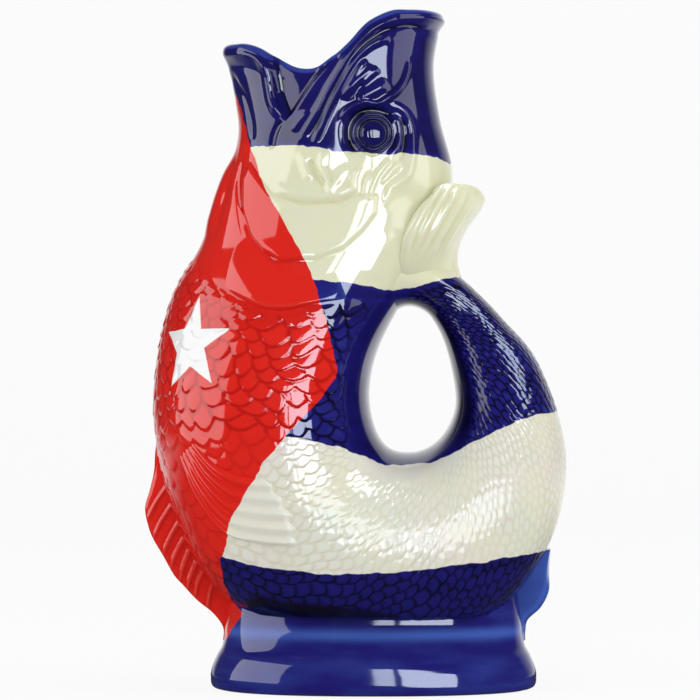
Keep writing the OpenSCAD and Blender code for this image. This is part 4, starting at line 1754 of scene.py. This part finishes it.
@dataclass(frozen=True)
class PaintedGlaze:
    """Painted and glazed earthenware, fired glossy.

    To the eye: cobalt that pools dark in the grooves and thins to a lighter blue on the crests, an
    opaque red, and a pearl white with faint green, pink and yellow tints, under one glassy coat. The
    darker grooves and lighter crests are partly the glaze and partly painted shade and painted highlight.
    Each colour is given on the crests, on the plain surface and in the grooves. Sizes are in
    millimetres.
    """

    cobalt: tuple[str, str, str] = ("#4460B4", "#201C70", "#05040F")
    red: tuple[str, str, str] = ("#EA4A3C", "#E0261C", "#BE1610")
    white: tuple[str, str, str] = ("#F2F1E8", "#E8E6D6", "#C2B084")
    star: str = "#F1F0EA"
    # Tints of the white, in patches, and how strong they are
    tints: tuple[str, str, str] = ("#D9E3C9", "#EBDDD2", "#EDE6C2")
    tint_sizes: tuple[float, float, float] = (38.0, 27.0, 21.0)
    tint_span: Pair = (0.45, 0.75)
    tint_share: float = 0.55
    # Thick white up the neck, and the heights between which it sets in
    thick_white: str = "#E3E2B8"
    thick_heights: Pair = (120.0, 170.0)
    thick_share: float = 0.7
    roughness: float = 0.06
    index: float = 1.56
    # Painted outlines: how soft they are, how far they wander, and the share of that round the star
    soft_edge: float = 0.16
    wander: float = 0.5
    wander_size: float = 7.0
    wander_span: Pair = (0.3, 0.7)
    star_wander: float = 0.3
    # Brush strokes in the cobalt, and ripples of the glaze
    brush_size: float = 30.0
    brush_stretch: float = 4.0
    brush_depth: float = 0.7
    ripple_size: float = 11.0
    ripple_height: float = 0.05
    ripple_strength: float = 0.6

    def build(self) -> bpy.types.Material:
        """Makes the material from the fields and grooves that the vertices carry.

        Returns:
            The material: cobalt, with the white, the red and the star laid over it in that order.
        """
        material = bpy.data.materials.new("painted_glazed_earthenware")
        tree = empty_nodes(material)
        place = add_node(tree, "ShaderNodeTexCoord", {}).outputs["Object"]
        hollow = carried(tree, "hollow")
        stretch = {"Vector": place, "Scale": (1.0, 1.0, self.brush_stretch)}
        brush = noise(tree, add_node(tree, "ShaderNodeMapping", stretch).outputs[0], self.brush_size, 4.0)
        stroke = maths(tree, "SUBTRACT", brush, 0.5)
        # Cobalt darker in grooves and lighter on crests: partly the glaze, partly painted shade and
        # highlight
        pooled = maths(tree, "MULTIPLY_ADD", stroke, -self.brush_depth, hollow)
        colour = self.graded(tree, pooled, self.cobalt)
        white = self.lustre(tree, place, self.graded(tree, hollow, self.white))
        red = self.graded(tree, hollow, self.red)
        wander = noise(tree, place, self.wander_size, 2.0)
        shift = ramped(tree, wander, self.wander_span, (-self.wander, self.wander))
        layers = (("white_edge", 1.0, white), ("red_edge", 1.0, red),
                  ("star_edge", self.star_wander, linear(self.star)))
        for edge, much, layer in layers:
            moved = maths(tree, "MULTIPLY_ADD", shift, much, carried(tree, edge))
            soft = (-self.soft_edge, self.soft_edge)
            mask = ramped(tree, moved, soft, interpolation_type="SMOOTHSTEP")
            colour = layered(tree, mask, colour, layer)
        bump = add_node(tree, "ShaderNodeBump", {
            "Strength": self.ripple_strength, "Distance": self.ripple_height * MM,
            "Height": noise(tree, place, self.ripple_size, 1.0)})
        shader = add_node(tree, "ShaderNodeBsdfPrincipled", {
            "Base Color": colour, "Roughness": self.roughness, "IOR": self.index,
            "Normal": bump.outputs["Normal"]})
        add_node(tree, "ShaderNodeOutputMaterial", {"Surface": shader.outputs[0]})
        return material

    @staticmethod
    def graded(tree: Tree, hollow: Socket, colours: Sequence[str]) -> Socket:
        """Grades a colour from the crests through the plain surface to the grooves: partly the glaze, and
        partly painted highlight on the crests and painted shade in the grooves.

        Args:
            tree: The material's nodes.
            hollow: 1 in a groove, -1 on a crest.
            colours: The colours of the three.

        Returns:
            The colour.
        """
        ramp = add_node(tree, "ShaderNodeValToRGB", {0: ramped(tree, hollow, (-1.0, 1.0))})
        ramp.color_ramp.elements.new(0.5)
        for element, colour in zip(ramp.color_ramp.elements, colours):
            element.color = linear(colour)
        return ramp.outputs[0]

    def lustre(self, tree: Tree, place: Socket, white: Socket) -> Socket:
        """Washes the pearl white with its three faint tints, in patches, and yellows it up the neck.

        Args:
            tree: The material's nodes.
            place: Where a point lies.
            white: The plain white.

        Returns:
            The white with its tints.
        """
        for size, tint in zip(self.tint_sizes, self.tints):
            patch = noise(tree, place, size, 3.0)
            much = ramped(tree, patch, self.tint_span, (0.0, self.tint_share))
            white = layered(tree, much, white, linear(tint))
        height = add_node(tree, "ShaderNodeSeparateXYZ", {0: place}).outputs["Z"]
        low, high = (MM * level for level in self.thick_heights)
        extra = ramped(tree, height, (low, high), (0.0, self.thick_share))
        return layered(tree, extra, white, linear(self.thick_white))


@dataclass(frozen=True)
class BareClay:
    """Unglazed earthenware, wiped clean before firing: pale, matt and finely gritty.

    The grit, in millimetres, is drawn at twice its real size so that it shows.
    """

    colours: tuple[str, str] = ("#D9CBB2", "#C3B193")
    grit: float = 0.6
    enlarged: float = 2.0
    grit_height: float = 0.2
    grit_strength: float = 0.5
    roughness: float = 0.85

    def build(self) -> bpy.types.Material:
        """Makes the material.

        Returns:
            The material: two colours, mixed by the pattern that also roughens it.
        """
        material = bpy.data.materials.new("bare_earthenware")
        tree = empty_nodes(material)
        place = add_node(tree, "ShaderNodeTexCoord", {}).outputs["Object"]
        grit = noise(tree, place, self.enlarged * self.grit, 3.0)
        light, dark = (linear(colour) for colour in self.colours)
        bump = add_node(tree, "ShaderNodeBump", {
            "Strength": self.grit_strength, "Distance": self.grit_height * MM, "Height": grit})
        shader = add_node(tree, "ShaderNodeBsdfPrincipled", {
            "Base Color": layered(tree, grit, light, dark), "Roughness": self.roughness,
            "Normal": bump.outputs["Normal"]})
        add_node(tree, "ShaderNodeOutputMaterial", {"Surface": shader.outputs[0]})
        return material


class Role(Enum):
    """What a lamp does: the glaze mirrors it, or it lights the colours under the glaze."""

    MIRRORED = "mirrored"
    LIGHTING = "lighting"


@dataclass(frozen=True)
class Lamp:
    """A soft rectangular lamp that faces the jug. Lengths are in metres, angles in degrees.

    Its azimuth is to the right of the camera, seen from the jug, and its elevation and its distance are
    from the jug's middle. Its radiance is how bright its face is, where white paper in full light is 1.
    Where it names pieces, it reaches only those.
    """

    name: str
    role: Role
    azimuth: float
    elevation: float
    distance: float
    size: Pair
    radiance: float
    colour: str = "#FFFFFF"
    only: tuple[str, ...] = ()

    def hang(self) -> None:
        """Hangs the lamp. The pieces that it names are there by then."""
        light = bpy.data.lights.new(self.name, "AREA")
        light.color = linear(self.colour)[:3]
        light.shape = "RECTANGLE"
        light.size, light.size_y = self.size
        light.energy = self.radiance * math.pi * self.size[0] * self.size[1]
        lamp = bpy.data.objects.new(self.name, light)
        a, e = math.radians(self.azimuth), math.radians(self.elevation)
        way = np.array([math.sin(a) * math.cos(e), -math.cos(a) * math.cos(e), math.sin(e)])
        lamp.location = np.array(VIEW.target) * MM + way * self.distance
        lamp.rotation_euler = (math.pi / 2 - e, 0.0, a)
        lamp.visible_glossy = self.role is Role.MIRRORED
        lamp.visible_diffuse = self.role is Role.LIGHTING
        if self.only:
            lamp.light_linking.receiver_collection = bpy.data.collections.new(f"{self.name}_reach")
            for piece in self.only:
                lamp.light_linking.receiver_collection.objects.link(bpy.data.objects[piece])
        bpy.context.scene.collection.objects.link(lamp)


@dataclass
class Studio:
    """A white sweep, soft lamps and the camera. Lengths are in metres.

    The glaze mirrors a window of several panes, one in the roof, and pale walls at the left and right.
    Soft daylight, fills and a back light, which it doesn't mirror, light the colours.
    """

    sweep_width: float = 6.0
    sweep_front: float = -3.0
    sweep_back: float = 1.6
    sweep_bend: float = 0.6
    sweep_height: float = 3.0
    bend_steps: int = 24
    # The paper, how far it glows, and where it fades to dark in reflections: in front, at left, at right
    paper_colour: str = "#F2F2F2"
    glow: float = 0.9
    front_fade: Pair = (0.1, 0.6)
    left_fade: Pair = (-1.3, -0.5)
    right_fade: Pair = (0.6, 2.9)
    # How bright the room is, and how bright it is in reflections
    world: float = 0.25
    dark: float = 0.05
    sensor_millimetres: float = 36.0
    near_pieces: ClassVar[tuple[str, ...]] = (
        "head_modelled", "breast_scaled", "tail_scaled", "tail_fin_ribbed", "front_fin_ribbed",
        "rear_fin_smooth", "foot_glazed", "left_side_fin_rayed", "left_gill_plate", "left_eye_domed")
    lamps: ClassVar[tuple[Lamp, ...]] = (
        Lamp("window_wide", Role.MIRRORED, 23.5, 8.0, 2.3, (1.2, 0.95), 5.0, "#E6F0FF"),
        Lamp("window_bright", Role.MIRRORED, 23.5, 8.0, 2.35, (1.22, 0.97), 6.0, "#E6F0FF", near_pieces),
        Lamp("right_wall", Role.MIRRORED, 72.0, 12.0, 1.9, (1.5, 1.5), 1.9, only=("head_modelled",)),
        Lamp("window_narrow", Role.MIRRORED, 3.6, 8.0, 2.3, (0.22, 0.95), 9.0, "#E6F0FF"),
        Lamp("window_far", Role.MIRRORED, -14.0, 7.0, 2.3, (0.24, 0.9), 13.0, "#E6F0FF",
             ("head_modelled", "left_eye_domed")),
        Lamp("back_light", Role.LIGHTING, 100.0, 28.0, 2.3, (1.0, 1.0), 1.6, "#FFF3DC",
             ("tail_fin_ribbed",)),
        Lamp("roof_window", Role.MIRRORED, 66.0, 43.0, 2.3, (1.1, 1.0), 9.0, "#DCEAFF",
             ("tail_scaled", "belly_scaled", "tail_fin_ribbed")),
        Lamp("daylight", Role.LIGHTING, -8.0, 22.0, 2.3, (1.1, 1.1), 4.15, "#F6F9FF"),
        Lamp("fill", Role.LIGHTING, -66.0, 20.0, 2.3, (1.4, 1.4), 2.0),
        Lamp("right_fill", Role.LIGHTING, 80.0, 14.0, 2.3, (1.4, 1.4), 3.6),
        Lamp("pale_wall", Role.MIRRORED, -76.0, 10.0, 1.9, (2.1, 1.9), 2.6),
        Lamp("ceiling", Role.LIGHTING, 10.0, 80.0, 2.2, (3.0, 3.0), 0.9, "#E4EDFF"))

    def sweep(self) -> None:
        """Lays the floor and bends it up behind the jug in a quarter circle."""
        turn = np.linspace(0, math.pi / 2, self.bend_steps)
        y = np.concatenate([[self.sweep_front], self.sweep_back + self.sweep_bend * np.sin(turn)])
        z = np.concatenate([[0.0], self.sweep_bend * (1 - np.cos(turn))])
        y, z = np.append(y, y[-1])[:, None], np.append(z, self.sweep_height)[:, None]
        x = np.array([[-self.sweep_width / 2, self.sweep_width / 2]])
        points = np.stack([x + 0 * y, y + 0 * x, z + 0 * x], axis=-1)
        faces = np.arange(len(y) - 1)[:, None] * 2 + np.array([0, 1, 3, 2])
        mesh = bpy.data.meshes.new("sweep")
        mesh.from_pydata(points.reshape(-1, 3).tolist(), [], faces.tolist())
        mesh.polygons.foreach_set("use_smooth", np.ones(len(faces), bool))
        sweep = bpy.data.objects.new("sweep", mesh)
        bpy.context.scene.collection.objects.link(sweep)
        mesh.materials.append(self.paper())

    def paper(self) -> bpy.types.Material:
        """Makes white paper that glows for the camera, and still takes a shadow.

        Returns:
            The material. Reflections show it white behind the jug and to the right, and dark elsewhere,
            where a room was.
        """
        material = bpy.data.materials.new("white_paper")
        tree = empty_nodes(material)
        path = add_node(tree, "ShaderNodeLightPath", {}).outputs
        place = add_node(tree, "ShaderNodeTexCoord", {}).outputs["Object"]
        at = add_node(tree, "ShaderNodeSeparateXYZ", {0: place}).outputs
        seen = maths(tree, "MAXIMUM", path["Is Camera Ray"], path["Is Glossy Ray"])
        seen = maths(tree, "MAXIMUM", seen, path["Is Transmission Ray"])
        plain = add_node(tree, "ShaderNodeBsdfDiffuse", {"Color": linear(self.paper_colour)})
        white = linear("#FFFFFF")
        glow, dark = (add_node(tree, "ShaderNodeEmission", {"Color": white, "Strength": strength})
                      for strength in (1.0, self.dark))
        mixed = add_node(tree, "ShaderNodeMixShader", {
            0: maths(tree, "MULTIPLY", seen, self.glow), 1: plain.outputs[0], 2: glow.outputs[0]})
        front = ramped(tree, at["Y"], self.front_fade, (1.0, 0.0))
        left = ramped(tree, at["X"], self.left_fade, (1.0, 0.0))
        right = ramped(tree, at["X"], self.right_fade)
        away = maths(tree, "MAXIMUM", maths(tree, "MAXIMUM", front, left), right)
        final = add_node(tree, "ShaderNodeMixShader", {
            0: maths(tree, "MULTIPLY", away, path["Is Glossy Ray"]),
            1: mixed.outputs[0], 2: dark.outputs[0]})
        add_node(tree, "ShaderNodeOutputMaterial", {"Surface": final.outputs[0]})
        return material

    def room(self) -> None:
        """Surrounds the jug with a dim room, darker in reflections and white for the camera."""
        world = bpy.data.worlds.new("room")
        tree = empty_nodes(world)
        path = add_node(tree, "ShaderNodeLightPath", {}).outputs
        lit = ramped(tree, path["Is Glossy Ray"], (0.0, 1.0), (self.world, self.dark))
        strength = add_node(tree, "ShaderNodeMix", {0: path["Is Camera Ray"], 2: lit, 3: 1.0}).outputs[0]
        room = add_node(tree, "ShaderNodeBackground", {"Color": linear("#FFFFFF"), "Strength": strength})
        add_node(tree, "ShaderNodeOutputWorld", {"Surface": room.outputs[0]})
        bpy.context.scene.world = world

    def camera(self) -> None:
        """Sets up the photograph's camera, level and square to the near flank."""
        data = bpy.data.cameras.new("camera")
        data.sensor_width = self.sensor_millimetres
        data.lens = data.sensor_width * VIEW.focal / VIEW.frame
        camera = bpy.data.objects.new("camera", data)
        camera.location = np.array(VIEW.target) * MM - np.array([0.0, VIEW.distance * MM, 0.0])
        camera.rotation_euler = (math.pi / 2, 0.0, 0.0)
        bpy.context.scene.collection.objects.link(camera)
        bpy.context.scene.camera = camera

    def build(self) -> None:
        """Sets up the studio round the pieces, which are there by then."""
        self.sweep()
        for lamp in self.lamps:
            lamp.hang()
        self.room()
        self.camera()


def main() -> None:
    """Builds the jug from the foot up, and then the studio."""
    logging.basicConfig(level=logging.INFO, format="%(name)s: %(message)s")
    bpy.context.scene.view_settings.view_transform = "Standard"
    finishes = Finishes(PaintedGlaze().build(), BareClay().build())
    bodies = [Body("breast_scaled", FISH.neck, FISH.waist), Body("belly_scaled", FISH.waist, FISH.root)]
    sprigs = [kind(flank) for flank in Flank for kind in (SideFin, GillCover, Eye)]
    for part in (Foot(), *bodies, Head(), Tail(), TailFin(), FrontFin(), RearFin(), *sprigs):
        part.dress(finishes)
    Studio().build()


if __name__ == "__main__":
    main()
